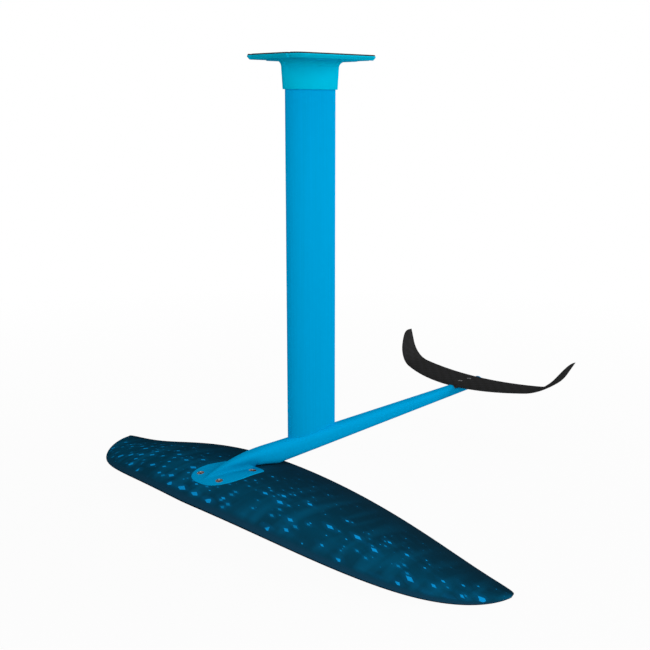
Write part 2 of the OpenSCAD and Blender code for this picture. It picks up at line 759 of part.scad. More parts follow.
// Stabiliser: two tangent arcs along the span, a swept planform and a rounded tip
stab_section = [stab_thickness_ratio, 0, stab_edge];
stab_station_count = 14;
stab_core_count = 8;
stab_last_ratio = 0.999;
stab_tip_power = 3.4;
stab_tip_round_power = 0.24;
middle_r = stab_flat / (stab_dihedral * PI / 180);
stab_bend_end = stab_flat + stab_bend_r * (stab_tip_tilt - stab_dihedral) * PI / 180;
stab_reach = stab_bend_end + stab_tip_length;
function stab_tilt(s) =
    s < stab_flat
    ? stab_dihedral * s / stab_flat
    : min(stab_dihedral + (s - stab_flat) / stab_bend_r * 180 / PI, stab_tip_tilt);
function stab_side(s) =
    s < stab_flat
    ? middle_r * sin(stab_tilt(s))
    : middle_r * sin(stab_dihedral) + stab_bend_r * (sin(stab_tilt(s)) - sin(stab_dihedral))
        + max(s - stab_bend_end, 0) * cos(stab_tip_tilt);
function stab_rise(s) =
    s < stab_flat
    ? middle_r * (1 - cos(stab_tilt(s)))
    : middle_r * (1 - cos(stab_dihedral)) + stab_bend_r * (cos(stab_dihedral) - cos(stab_tilt(s)))
        + max(s - stab_bend_end, 0) * sin(stab_tip_tilt);
function stab_rear_x(t) = -stab_rear - stab_rear_sweep * (1.08 * t ^ 2 - 0.08 * t ^ 6);
function stab_front_x(t) = -stab_front - stab_front_sweep * (1.27 * t ^ 2 - 0.27 * t ^ 4);
function stab_chord_at(t) =
    (stab_front_x(t) - stab_rear_x(t)) * (1 - t ^ stab_tip_power) ^ stab_tip_round_power;
function stab_station(i) =
    let (t = stab_last_ratio * sin(90 * abs(i) / stab_station_count), s = t * stab_reach)
    [stab_rear_x(t) + stab_chord_at(t), stab_chord_at(t), sign(i) * stab_side(s), stab_z + stab_rise(s),
        sign(i) * stab_tilt(s), 0];
stab_stations = [for (i = [-stab_station_count : stab_station_count]) stab_station(i)];
stab_head_sink = 0.5;
function stab_head_z(x) =
    stab_z + section_half(stab_section, stab_chord, (-stab_front - x) / stab_chord) - stab_head_sink;
module stab_screw_holes() {
    for (x = stab_screw_xs)
        translate([x, 0, stab_head_z(x)])
            countersunk_hole(stab_screw_d, through);
}
module stab_upper_skin() {
    color("#222222")
        difference() {
            half_skin(stab_stations, stab_section, stab_skin, stab_core_count, 1);
            stab_screw_holes();
        }
}
module stab_lower_skin() {
    color("#1c1c1c")
        difference() {
            half_skin(stab_stations, stab_section, stab_skin, stab_core_count, -1);
            stab_screw_holes();
        }
}
// Hard block between the two wings of foam
module stab_block_box(grow) {
    front = chord_places[core_first_index] * stab_chord;
    rear = chord_places[core_last_index] * stab_chord;
    translate([-stab_front - rear - grow, -stab_block_width / 2 - grow, stab_z - stab_chord / 4])
        cube([rear - front + 2 * grow, stab_block_width + 2 * grow, stab_chord / 2]);
}
module stab_core() {
    color("#e8e2cf")
        difference() {
            foam_core(stab_stations, stab_section, stab_skin, stab_core_count);
            stab_block_box(bond_line);
        }
}
module stab_block() {
    color("#b8a878")
        difference() {
            intersection() {
                foam_core(stab_stations, stab_section, stab_skin, 1);
                stab_block_box(0);
            }
            stab_screw_holes();
        }
}
// Saddle: flat underneath, shaped to the stabiliser's lower face on top
saddle_inset = 4;
saddle_outline = concat(
    [for (k = [2 : last_place_index - 1])
        let (u = chord_places[k])
        [-stab_front - u * stab_chord, stab_z - section_half(stab_section, stab_chord, u) - bond_line]],
    [for (k = [last_place_index - 1, 2]) [-stab_front - chord_places[k] * stab_chord, stab_seat_z]]
);
module stab_saddle() {
    half = tail_width / 2 - saddle_inset / 2;
    color("#2a2c30")
        difference() {
            translate([0, half, 0])
                rotate([90, 0, 0])
                    linear_extrude(2 * half)
                        polygon(saddle_outline);
            for (x = stab_screw_xs)
                translate([x, 0, stab_seat_z - through / 2])
                    cylinder(r = stab_screw_d / 2 + hole_fit, h = through, $fn = round_fn);
        }
}
module stab_screws() {
    color("#c4c8cc")
        for (x = stab_screw_xs)
            translate([x, 0, stab_head_z(x)])
                countersunk_screw(stab_screw_d, stab_screw_length);
}
module stab_bushes() {
    color("#9a9ea4")
        for (x = stab_screw_xs)
            translate([x, 0, stab_seat_z])
                bush(stab_bush_d, stab_screw_d, stab_bush_length);
}

head_pad();
head_plate();
head_screws();
mast_extrusion();
mast_head_block();
mast_foot_block();
mast_cell_plugs();
mast_screws();
fuselage();
front_wing_upper_skin();
front_wing_lower_skin();
front_wing_core();
front_wing_block();
front_wing_bushes();
front_wing_screws();
stab_upper_skin();
stab_lower_skin();
stab_core();
stab_block();
stab_saddle();
stab_screws();
stab_bushes();
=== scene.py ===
import math

import bmesh
import bpy
import numpy as np
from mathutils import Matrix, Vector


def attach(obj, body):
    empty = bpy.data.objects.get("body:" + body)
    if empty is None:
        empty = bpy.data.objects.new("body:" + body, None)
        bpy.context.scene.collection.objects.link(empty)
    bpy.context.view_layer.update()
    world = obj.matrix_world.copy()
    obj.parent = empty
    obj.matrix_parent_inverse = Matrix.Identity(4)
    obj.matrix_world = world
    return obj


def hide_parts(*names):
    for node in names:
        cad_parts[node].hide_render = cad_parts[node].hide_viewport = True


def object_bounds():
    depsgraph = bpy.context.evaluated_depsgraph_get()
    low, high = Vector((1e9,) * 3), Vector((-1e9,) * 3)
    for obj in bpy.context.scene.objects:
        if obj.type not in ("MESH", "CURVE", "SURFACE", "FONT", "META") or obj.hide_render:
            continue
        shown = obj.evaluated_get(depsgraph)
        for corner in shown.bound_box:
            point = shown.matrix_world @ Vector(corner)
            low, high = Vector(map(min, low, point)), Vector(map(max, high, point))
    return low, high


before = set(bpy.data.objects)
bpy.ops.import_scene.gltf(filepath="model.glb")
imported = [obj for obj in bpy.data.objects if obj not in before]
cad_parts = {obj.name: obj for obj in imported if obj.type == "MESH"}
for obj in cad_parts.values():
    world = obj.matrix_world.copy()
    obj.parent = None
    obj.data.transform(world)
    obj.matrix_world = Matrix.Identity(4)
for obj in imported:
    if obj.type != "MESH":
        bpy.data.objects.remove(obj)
cad_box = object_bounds()

# HEAD PAD
# A thin gasket of black sheet rubber between plate and board, die-cut to the plate's outline.
# It keeps the plate from marking the board and is glued to the plate's top face.
PAD_THICK = 0.0020


def linear(hex_colour):
    """sRGB hex to the linear colour that a socket takes."""
    channels = [int(hex_colour[i:i + 2], 16) / 255 for i in (1, 3, 5)]
    return [c / 12.92 if c <= 0.04045 else ((c + 0.055) / 1.055) ** 2.4 for c in channels] + [1.0]


def add(tree, kind, settings=None, links=None):
    """One node: settings go to its properties or its sockets, links bring other nodes' outputs in."""
    node = tree.nodes.new("ShaderNode" + kind)
    for key, value in (settings or {}).items():
        if isinstance(key, str) and key in node.bl_rna.properties:
            setattr(node, key, value)
        else:
            node.inputs[key].default_value = value
    for key, source in (links or {}).items():
        tree.links.new(source, node.inputs[key])
    return node


def new_finish(name, sockets):
    """A material with one shader; numbers and colours that are the same all over sit on its sockets."""
    material = bpy.data.materials.new(name)
    material.use_nodes = True
    tree = material.node_tree
    tree.nodes.clear()
    shader = add(tree, "BsdfPrincipled", sockets)
    add(tree, "OutputMaterial", {}, {"Surface": shader.outputs[0]})
    return material, tree, shader


def set_stops(ramp, stops):
    """Colour stops of a ramp: a place from 0 to 1 and a hex colour each."""
    elements = ramp.color_ramp.elements
    while len(elements) < len(stops):
        elements.new(0.5)
    for element, (place, colour) in zip(elements, stops):
        element.position = place
        element.color = linear(colour)


def dress(node_name, material):
    """A CAD node that shows as it is takes a finish."""
    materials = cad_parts[node_name].data.materials
    materials.clear()
    materials.append(material)


# Sheet rubber, calendered: dead matt black with the cloth mark of the press, a 0.8 mm weave
# drawn at 2 mm so that it shows.
rubber, tree, shader = new_finish("sheet_rubber_black", {"Roughness": 0.85, "Specular IOR Level": 0.3})
where = add(tree, "TexCoord")
weave = add(tree, "TexChecker", {"Scale": 1 / 0.002}, {"Vector": where.outputs["Object"]})
wear = add(tree, "TexNoise", {"Scale": 1 / 0.03, "Detail": 4.0}, {"Vector": where.outputs["Object"]})
tint = add(tree, "ValToRGB", {}, {"Fac": wear.outputs[0]})
set_stops(tint, [(0.3, "#0c0d0e"), (0.7, "#191a1c")])
tree.links.new(tint.outputs[0], shader.inputs["Base Color"])
bump = add(tree, "Bump", {"Strength": 0.4, "Distance": 0.0001}, {"Height": weave.outputs[1]})
tree.links.new(bump.outputs[0], shader.inputs["Normal"])
dress("head_pad", rubber)

# HEAD PLATE
# One aluminium casting: a bevelled plate with four open slots for the board's bolts, a thin boss
# under it and a drafted collar that the mast slides into. It is bead-blasted and dyed cyan.
PLATE_LENGTH = 0.192
PLATE_WIDTH = 0.128
PLATE_CORNER = 0.020
PLATE_THICK = 0.0064
PLATE_BAND = 0.0020
PLATE_BEVEL = 0.0035
EDGE_BREAK = 0.0005
BOSS_LENGTH = 0.144
BOSS_WIDTH = 0.096
BOSS_CORNER = 0.024
BOSS_THICK = 0.0018
BOLT_X = 0.0825
BOLT_Y = 0.045
SLOT_RADIUS = 0.0045
SLOT_REACH = 0.0055
SLOT_MOUTH = 0.0041
COLLAR_HEIGHT = 0.047
COLLAR_WALL = 0.0036
COLLAR_DRAFT = 0.0021
COLLAR_FILLET = 0.010
COLLAR_LIP = 0.0005
SLIDE_FIT = 0.00015
HOLE_FIT = 0.0003
MAST_X = 0.003
MAST_CHORD = 0.1145
MAST_THICK = 0.0166
MAST_EDGE = 0.003
MAST_EDGE_POWER = 40
MAST_SCREW = 0.008
MAST_SCREW_PLACES = (0.030, 0.060)
HEAD_REACH = 0.95
HEAD_CONE = 0.55
JOIN_OVERLAP = 0.001
CUTTER_REACH = 0.02
TURN_STEPS = 48
COLLAR_STEPS = 128
plate_top = -PAD_THICK
plate_under = plate_top - PLATE_THICK
boss_under = plate_under - BOSS_THICK
collar_rim = plate_under - COLLAR_HEIGHT
mast_front = MAST_X + MAST_CHORD / 2
mast_screw_xs = [mast_front - place for place in MAST_SCREW_PLACES]


def foil_half(u):
    """Half thickness of a smooth foil of thickness 1 at a place from 0 (front) to 1 (rear)."""
    return 1.4845 * np.sqrt(u) - 0.63 * u - 1.758 * u ** 2 + 1.4215 * u ** 3 - 0.518 * u ** 4


def mast_half(u):
    """Half thickness of the mast, with its rear edge rounded over."""
    return (MAST_THICK * foil_half(u) + MAST_EDGE / 2 * u) * np.sqrt(np.maximum(1 - u ** MAST_EDGE_POWER, 0))


def mast_outline(count, grow=0.0):
    """The mast's section as points in X and Y, grown outwards along its normals."""
    turn = 2 * np.pi * np.arange(count) / count
    u = (1 - np.cos(turn)) / 2
    points = np.stack([mast_front - MAST_CHORD * u, np.where(turn <= np.pi, 1, -1) * mast_half(u)], 1)
    way = np.roll(points, -1, 0) - np.roll(points, 1, 0)
    way /= np.linalg.norm(way, axis=1)[:, None]
    return points + grow * np.stack([way[:, 1], -way[:, 0]], 1)


def at_height(outline, z):
    """A flat outline lifted to a height."""
    return np.column_stack([outline, np.full(len(outline), z)])


def arc(x, y, radius, start, end, steps=12):
    """Points on an arc in X and Y, from one angle in degrees to another."""
    turn = np.radians(np.linspace(start, end, steps + 1))
    return np.column_stack([x + radius * np.cos(turn), y + radius * np.sin(turn)])


def circle(x, y, radius, steps):
    """Points round a circle in X and Y."""
    return arc(x, y, radius, 0, 360 * (steps - 1) / steps, steps - 1)


def rounded_rectangle(length, width, corner):
    """Outline of a rectangle with round corners, counter-clockwise from above."""
    x, y = length / 2 - corner, width / 2 - corner
    return np.concatenate([arc(x, y, corner, 0, 90), arc(-x, y, corner, 90, 180),
                           arc(-x, -y, corner, 180, 270), arc(x, -y, corner, 270, 360)])


def shade(mesh, sharp=32.0):
    """Smooth shading, except along edges that turn by more than an angle in degrees."""
    mesh.shade_smooth()
    mesh.set_sharp_from_angle(angle=math.radians(sharp))


def loft(name, rings, material=None):
    """A closed piece over a row of rings that have equally many points, facing outwards."""
    rings = np.asarray(rings, float)
    count, points = rings.shape[:2]
    faces = [(i * points + j, i * points + (j + 1) % points, (i + 1) * points + (j + 1) % points,
              (i + 1) * points + j) for i in range(count - 1) for j in range(points)]
    faces.append(tuple(reversed(range(points))))
    faces.append(tuple(range((count - 1) * points, count * points)))
    mesh = bpy.data.meshes.new(name)
    mesh.from_pydata(rings.reshape(-1, 3).tolist(), [], faces)
    work = bmesh.new()
    work.from_mesh(mesh)
    bmesh.ops.remove_doubles(work, verts=work.verts, dist=1e-6)
    bmesh.ops.dissolve_degenerate(work, edges=work.edges, dist=1e-7)
    bmesh.ops.recalc_face_normals(work, faces=work.faces)
    work.to_mesh(mesh)
    work.free()
    shade(mesh)
    if material:
        mesh.materials.append(material)
    piece = bpy.data.objects.new(name, mesh)
    bpy.context.scene.collection.objects.link(piece)
    return piece


def machine(piece, tools, how="DIFFERENCE"):
    """Joins other solids to a piece or cuts them out of it; they are used up and leave their finish."""
    for tool in tools:
        step = piece.modifiers.new("machine", "BOOLEAN")
        step.operation = how
        step.solver = "EXACT"
        step.material_mode = "TRANSFER"
        step.object = tool
    evaluated = piece.evaluated_get(bpy.context.evaluated_depsgraph_get())
    mesh = bpy.data.meshes.new_from_object(evaluated)
    piece.modifiers.clear()
    piece.data = mesh
    mesh.name = piece.name
    for tool in tools:
        bpy.data.objects.remove(tool)
    shade(mesh)


def turned(name, x, y, z, profile, material=None):
    """A solid turned about an upright axis; its profile is radius and height from top to bottom."""
    rings = [at_height(circle(x, y, radius, TURN_STEPS), z + height) for radius, height in profile]
    return loft(name, rings, material)


def countersink(x, y, z, d, material=None):
    """Drill that leaves a countersunk hole for a screw whose head's top is at a height."""
    head, shank = HEAD_REACH * d + HOLE_FIT, d / 2 + HOLE_FIT
    profile = [(head, CUTTER_REACH), (head, -HOLE_FIT), (shank, -HEAD_CONE * d - HOLE_FIT),
               (shank, -CUTTER_REACH)]
    return turned("drill", x, y, z, profile, material)


def board_slot(side_x, side_y):
    """Cutter for one slot: round at its inner end and open through the plate's edge."""
    open_angle = math.degrees(math.asin(SLOT_MOUTH / SLOT_RADIUS))
    outline = np.concatenate([arc(SLOT_REACH, 0, SLOT_RADIUS, open_angle, 90, 3),
                              arc(-SLOT_REACH, 0, SLOT_RADIUS, 90, 270, 16),
                              arc(SLOT_REACH, 0, SLOT_RADIUS, 270, 360 - open_angle, 3),
                              [(CUTTER_REACH, -SLOT_MOUTH), (CUTTER_REACH, SLOT_MOUTH)]])
    outline = outline * (side_x, side_y) + (side_x * BOLT_X, side_y * BOLT_Y)
    return loft("slot", [at_height(outline, z) for z in (CUTTER_REACH, -CUTTER_REACH)])


def slab(name, length, width, corner, steps, material):
    """A plate with round corners; the steps of its edge are inset and height, from the top down."""
    return loft(name, [at_height(rounded_rectangle(length - 2 * inset, width - 2 * inset, corner - inset), z)
                       for inset, z in steps], material)


# Cast aluminium, bead-blasted and anodised cyan: a dyed metal with no grain, whose tiny dents
# spread every highlight; 0.25 mm dents drawn at 0.8 mm so that they show.
cyan, tree, shader = new_finish("anodised_casting_cyan", {
    "Metallic": 0.02, "Roughness": 0.5, "Specular IOR Level": 0.0, "Specular Tint": linear("#003c50")})
where = add(tree, "TexCoord")
cloud = add(tree, "TexNoise", {"Scale": 1 / 0.05, "Detail": 3.0}, {"Vector": where.outputs["Object"]})
tint = add(tree, "ValToRGB", {}, {"Fac": cloud.outputs[0]})
set_stops(tint, [(0.3, "#00c0e3"), (0.7, "#00c6eb")])
tree.links.new(tint.outputs[0], shader.inputs["Base Color"])
dents = add(tree, "TexNoise", {"Scale": 1 / 0.0008, "Detail": 1.0}, {"Vector": where.outputs["Object"]})
bump = add(tree, "Bump", {"Strength": 0.25, "Distance": 0.0001}, {"Height": dents.outputs[0]})
tree.links.new(bump.outputs[0], shader.inputs["Normal"])

plate = slab("head_plate_casting", PLATE_LENGTH, PLATE_WIDTH, PLATE_CORNER, [
    (EDGE_BREAK, plate_top), (0, plate_top - EDGE_BREAK), (0, plate_top - PLATE_BAND),
    (PLATE_BEVEL - EDGE_BREAK / 2, plate_under + EDGE_BREAK),
    (PLATE_BEVEL + EDGE_BREAK / 2, plate_under)], cyan)
boss = slab("boss", BOSS_LENGTH, BOSS_WIDTH, BOSS_CORNER, [
    (0, plate_under + JOIN_OVERLAP), (0, boss_under + EDGE_BREAK), (EDGE_BREAK, boss_under)], cyan)
collar_profile = [(COLLAR_WALL + COLLAR_DRAFT + COLLAR_FILLET, plate_under + JOIN_OVERLAP)]
for turn in np.radians(np.linspace(90, 0, 10)):
    collar_profile.append((COLLAR_WALL + COLLAR_DRAFT + COLLAR_FILLET * (1 - math.cos(turn)),
                           boss_under - COLLAR_FILLET * (1 - math.sin(turn))))
for turn in np.radians((0, 30, 60, 90)):
    collar_profile.append((COLLAR_WALL - COLLAR_LIP * (1 - math.cos(turn)),
                           collar_rim + COLLAR_LIP * (1 - math.sin(turn))))
collar = loft("collar", [at_height(mast_outline(COLLAR_STEPS, grow), z) for grow, z in collar_profile], cyan)
machine(plate, [boss, collar], "UNION")
socket_outline = mast_outline(COLLAR_STEPS, SLIDE_FIT)
socket = loft("socket", [at_height(socket_outline, z) for z in (plate_under, collar_rim - CUTTER_REACH)])
slots = [board_slot(side_x, side_y) for side_x in (-1, 1) for side_y in (-1, 1)]
machine(plate, [socket] + slots + [countersink(x, 0, plate_top, MAST_SCREW) for x in mast_screw_xs])
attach(plate, "root")
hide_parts("head_plate")

# HEAD SCREWS
# Two countersunk socket screws of stainless steel, which go down through the plate into the
# block in the mast and pull the mast up into the collar.
# Stainless steel, cold-headed and tumbled: bright, with fine turning rings on the heads, 0.1 mm
# apart and drawn at 0.4 mm.
steel, tree, shader = new_finish("stainless_steel_bright", {"Metallic": 1.0})
where = add(tree, "TexCoord")
smear = add(tree, "TexNoise", {"Scale": 1 / 0.002, "Detail": 4.0}, {"Vector": where.outputs["Object"]})
tint = add(tree, "ValToRGB", {}, {"Fac": smear.outputs[0]})
set_stops(tint, [(0.3, "#a4a8ad"), (0.7, "#c6c9cc")])
tree.links.new(tint.outputs[0], shader.inputs["Base Color"])
gloss = add(tree, "MapRange", {"To Min": 0.2, "To Max": 0.36}, {"Value": smear.outputs[0]})
tree.links.new(gloss.outputs[0], shader.inputs["Roughness"])
rings = add(tree, "TexWave", {"wave_type": "RINGS", "rings_direction": "Z", "Scale": 1 / 0.008,
                              "Distortion": 0.5}, {"Vector": where.outputs["Object"]})
bump = add(tree, "Bump", {"Strength": 0.1, "Distance": 0.00005}, {"Height": rings.outputs[1]})
tree.links.new(bump.outputs[0], shader.inputs["Normal"])
dress("head_screws", steel)

# MAST
# A hollow aluminium extrusion with a foil section and two webs, cut to length, bead-blasted and
# dyed blue. Its head sits in the collar and its foot in a pocket of the fuselage.
MAST_LENGTH = 0.6455
MAST_WALL = 0.0022
MAST_CELLS = ((0.006, 0.01775), (0.02025, 0.07375), (0.07625, 0.103))
MAST_STEPS = 160
mast_foot = plate_under - MAST_LENGTH

# Extruded aluminium, blasted and anodised blue: a satin dyed metal with faint drawing lines from
# the die along the mast, 0.3 mm apart and drawn at 1.5 mm. Inner corners, up to 60 mm wide, are
# darker: this is painted shade, standing in for the shadow that falls there.
blue, tree, shader = new_finish("anodised_extrusion_blue", {
    "Metallic": 0.02, "Roughness": 0.48, "Specular IOR Level": 0.0, "Specular Tint": linear("#003050")})
where = add(tree, "TexCoord")
stretch = add(tree, "Mapping", {"Scale": (1 / 0.0015, 1 / 0.0015, 1 / 0.3)},
              {"Vector": where.outputs["Object"]})
lines = add(tree, "TexNoise", {"Scale": 1.0, "Detail": 2.0}, {"Vector": stretch.outputs[0]})
tint = add(tree, "ValToRGB", {}, {"Fac": lines.outputs[0]})
set_stops(tint, [(0.3, "#00a5e0"), (0.7, "#00abe8")])
# Painted shade: an occlusion node darkens the blue towards #0086b8 in inner corners, up to 60 mm wide, in
# place of shadow.
corner = add(tree, "AmbientOcclusion", {"only_local": True, "Distance": 0.06})
painted_shade_fac = add(tree, "MapRange", {"From Min": 0.75, "From Max": 1.0}, {"Value": corner.outputs["AO"]})
blue_with_painted_shade = add(tree, "Mix", {"data_type": "RGBA", 6: linear("#0086b8")},
           {0: painted_shade_fac.outputs[0], 7: tint.outputs[0]})
tree.links.new(blue_with_painted_shade.outputs[2], shader.inputs["Base Color"])
bump = add(tree, "Bump", {"Strength": 0.12, "Distance": 0.0001}, {"Height": lines.outputs[0]})
tree.links.new(bump.outputs[0], shader.inputs["Normal"])


def mast_cell(start, end):
    """Cutter for one hollow cell, between two places behind the mast's front edge."""
    u = np.linspace(start, end, 15) / MAST_CHORD
    x, half = mast_front - MAST_CHORD * u, mast_half(u) - MAST_WALL
    outline = np.concatenate([np.column_stack([x, -half]), np.column_stack([x, half])[::-1]])
    ends = (plate_under + CUTTER_REACH / 2, mast_foot - CUTTER_REACH / 2)
    return loft("cell", [at_height(outline, z) for z in ends])


mast = loft("mast_extrusion_blue", [at_height(mast_outline(MAST_STEPS), z)
                                    for z in np.linspace(plate_under, mast_foot, 9)], blue)
machine(mast, [mast_cell(start, end) for start, end in MAST_CELLS])
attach(mast, "root")
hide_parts("mast_extrusion")

# BLOCKS AND PLUGS IN THE MAST
# Tapped aluminium blocks glued in the middle cell at both ends, and plugs of rigid foam in the
# outer cells that keep water out.
# Machined aluminium, bare: bright with the parallel marks of an end mill, 0.5 mm apart and drawn at 1 mm.
bare, tree, shader = new_finish("machined_aluminium_bare", {"Metallic": 1.0})
where = add(tree, "TexCoord")
marks = add(tree, "TexWave", {"wave_type": "BANDS", "bands_direction": "X", "Scale": 1 / 0.02,
                              "Distortion": 0.4}, {"Vector": where.outputs["Object"]})
tint = add(tree, "ValToRGB", {}, {"Fac": marks.outputs[1]})
set_stops(tint, [(0.2, "#b4b8bc"), (0.8, "#cfd2d5")])
tree.links.new(tint.outputs[0], shader.inputs["Base Color"])
gloss = add(tree, "MapRange", {"To Min": 0.25, "To Max": 0.38}, {"Value": marks.outputs[1]})
tree.links.new(gloss.outputs[0], shader.inputs["Roughness"])
for name in ("mast_head_block", "mast_foot_block"):
    dress(name, bare)

# Rigid foam, sawn: matt and open, with cells of 0.5 mm drawn at 1 mm.
plug_foam, tree, shader = new_finish("rigid_foam_grey", {"Roughness": 0.9, "Specular IOR Level": 0.2})
where = add(tree, "TexCoord")
cells = add(tree, "TexVoronoi", {"Scale": 1 / 0.001}, {"Vector": where.outputs["Object"]})
tint = add(tree, "ValToRGB", {}, {"Fac": cells.outputs[0]})
set_stops(tint, [(0.1, "#2c2e32"), (0.7, "#43464b")])
tree.links.new(tint.outputs[0], shader.inputs["Base Color"])
bump = add(tree, "Bump", {"Strength": 0.5, "Distance": 0.0002}, {"Height": cells.outputs[0]})
tree.links.new(bump.outputs[0], shader.inputs["Normal"])
dress("mast_cell_plugs", plug_foam)

# MAST SCREWS
# Two cap screws of stainless steel that rise from counterbores in the fuselage's belly into the
# mast's lower block.
dress("mast_screws", steel)

# FUSELAGE
# A slim aluminium beam, milled from bar: a pocket for the mast's foot, a tapering tail with a notch
# for the stabiliser, and an oval flange at the front that lies flush in the wing. Blasted and dyed blue.
FUSE_DROP = 0.0095
FUSE_WIDTH = 0.028
FUSE_HEIGHT = 0.0337
TAIL_WIDTH = 0.019
TAIL_REACH = 0.489
TAIL_ROUND = 0.005
TAIL_BLUNT = 0.45
TOP_RISE = 0.0044
BELLY_RISE = 0.020
NOSE_REACH = 0.249
NOSE_START = 0.100
NOSE_POWER = 2.36
TAPER_START = 0.132
TAPER_POWER = 1.6
TAPER_SHARE = 0.96
TOP_ROUNDNESS = 2.3
BELLY_ROUNDNESS = 3.0
FLANGE_FRONT = 0.257
FLANGE_REAR = 0.145
FLANGE_HALF = 0.045
FLANGE_REAR_HALF = 0.038
FLANGE_CORNER = 0.009
FLANGE_BLUNT = 0.8
FLANGE_DEPTH = 0.008
FLANGE_PROUD = 0.0003
FLANGE_EDGE = 0.0006
FLANGE_FILLET = 0.006
FLANGE_BLEND = 0.040
NOSE_COVE = 0.008
COVE_HEIGHT = 0.008
COVE_LEAST = 0.0002
COVE_SHARE = 0.7
COVE_LIMIT = 0.8
COVE_SPREAD = 4
COVE_GROWTH = 0.020
COVE_WIDENING = 0.050
ROOT_RUN = 0.095
BED_GAP = 0.0003
CAP_REACH = 0.8
CAP_DEPTH = 0.010
WING_SPAN = 0.962
WING_CHORD = 0.2349
WING_REAR = 0.0575
WING_REAR_HOLLOW = 0.0111
WING_REAR_WAVE = 138.1
WING_FULLNESS = 1.592
WING_ROUNDNESS = 0.529
WING_DROOP = 0.075
WING_DROOP_EASE = 0.62
WING_END = 0.9995
WING_CREST = 0.65
TIP_START = 0.7
TIP_POWER = 3
TIP_ROUND = 0.0089
TIP_ROUND_POWER = 20.5
TIP_SWEEP = 0.0088
TIP_FRONT_LIFT = 0.0066
TIP_REAR_LIFT = 0.0103
WING_THICKNESS = 0.13
WING_CAMBER = 0.04
WING_EDGE = 0.0012
WING_DROP = 0.0469
WING_SCREW = 0.006
WING_SCREW_BACK = 0.0176
WING_SCREW_PITCH = 0.0706
WING_SCREW_SIDE = 0.0242
WING_HEAD_SINK = 0.0008
CAD_STATIONS = 14
STAB_CHORD = 0.0896
STAB_FRONT = 0.3932
STAB_LIFT = 0.0026
STAB_THICKNESS = 0.095
STAB_SCREW = 0.005
STAB_SCREW_PLACES = (0.030, 0.059)
STAB_BUSH_RADIUS = 0.0041
STAB_BUSH_DEPTH = 0.008
SADDLE_THICK = 0.0012
fuse_top_z = mast_foot + FUSE_DROP
wing_z = fuse_top_z - WING_DROP
stab_z = fuse_top_z + STAB_LIFT
stab_rear = STAB_FRONT + STAB_CHORD
stab_seat = stab_z - STAB_THICKNESS * STAB_CHORD / 2 - SADDLE_THICK
stab_screw_xs = [-STAB_FRONT - place for place in STAB_SCREW_PLACES]


def camber_line(u):
    """Height of a camber of 1, highest at four tenths of the chord."""
    return np.where(u < 0.4, (0.8 * u - u ** 2) / 0.16, (0.2 + 0.8 * u - u ** 2) / 0.36)


def tip_share(share):
    """How far into the swept and lifted tip a share of the half span is, from 0 to 1."""
    return (np.maximum(share - TIP_START, 0) / (1 - TIP_START)) ** TIP_POWER


def wing_rear_x(share):
    """Rear edge of the wing at a share of its half span."""
    wave = np.sin(np.radians(WING_REAR_WAVE * share)) ** 2
    rounding = 1 - np.sqrt(np.maximum(1 - share ** TIP_ROUND_POWER, 0))
    return WING_REAR - WING_REAR_HOLLOW * wave + TIP_ROUND * rounding + TIP_SWEEP * tip_share(share)


def wing_front_x(share):
    """Front edge of the wing at a share of its half span."""
    tip = float(wing_rear_x(np.float64(1.0)))
    curve = np.maximum(1 - share ** WING_FULLNESS, 0) ** WING_ROUNDNESS
    return tip + (WING_REAR + WING_CHORD - tip) * curve


def wing_line_z(share):
    """Height of the wing's front edge at a share of its half span."""
    droop = (1 + WING_DROOP_EASE) * share ** 2 - WING_DROOP_EASE * share ** 4
    return wing_z - WING_DROOP * droop + TIP_FRONT_LIFT * tip_share(share)


def wing_face_z(x, y):
    """Height of the wing's upper face."""
    share = np.abs(y) / (WING_SPAN / 2)
    front = wing_front_x(share)
    chord = front - wing_rear_x(share)
    u = np.clip((front - x) / chord, 0, 1)
    return (wing_line_z(share) + (TIP_REAR_LIFT - TIP_FRONT_LIFT) * tip_share(share) * u
            + WING_CAMBER * chord * camber_line(u)
            + WING_THICKNESS * chord * foil_half(u) + WING_EDGE * u / 2)


wing_crest = float(wing_face_z(WING_REAR + WING_CREST * WING_CHORD, 0.0))
flange_seat = wing_crest - FLANGE_DEPTH
nose_top = float(wing_face_z(NOSE_REACH, 0.0)) + BED_GAP
flange_wide = (FLANGE_FRONT + FLANGE_REAR) / 2


def belly_line(x):
    """Height of the beam's straight belly."""
    return fuse_top_z - FUSE_HEIGHT + BELLY_RISE * (MAST_X - x) / (MAST_X + TAIL_REACH)


def ease(x, start, run):
    """Smooth step from 0 to 1 over a run along the beam."""
    share = min(max((x - start) / run, 0), 1)
    return share * share * (3 - 2 * share)


def beam_section(x):
    """Half width of the beam, and the heights of its top, its widest line and its belly."""
    squeeze = 1.0
    if x + TAIL_REACH < TAIL_ROUND:
        squeeze = TAIL_BLUNT + (1 - TAIL_BLUNT) * math.sqrt(1 - (1 - (x + TAIL_REACH) / TAIL_ROUND) ** 2)
    if x < MAST_X:
        top = fuse_top_z + TOP_RISE * (MAST_X - x) / (MAST_X + TAIL_REACH)
        wide = (FUSE_WIDTH + (TAIL_WIDTH - FUSE_WIDTH) * (MAST_X - x) / (MAST_X + TAIL_REACH)) / 2
    else:
        nose = max(x - NOSE_START, 0) / (NOSE_REACH - NOSE_START)
        taper = min(max(x - TAPER_START, 0) / (NOSE_REACH - TAPER_START), 1)
        top = fuse_top_z - (fuse_top_z - nose_top) * nose ** NOSE_POWER
        wide = FUSE_WIDTH / 2 * (1 - TAPER_SHARE * taper ** TAPER_POWER)
    belly = belly_line(x)
    if x > WING_REAR:
        belly = max(belly, float(wing_face_z(x, 0.0)) + BED_GAP)
    sunk = flange_seat + JOIN_OVERLAP
    widest = (top + belly + (sunk - belly) * ease(x, FLANGE_REAR - FLANGE_BLEND, FLANGE_BLEND)) / 2
    if x > FLANGE_REAR:
        belly = sunk
    return wide * squeeze, widest + (top - widest) * squeeze, widest, widest - (widest - belly) * squeeze


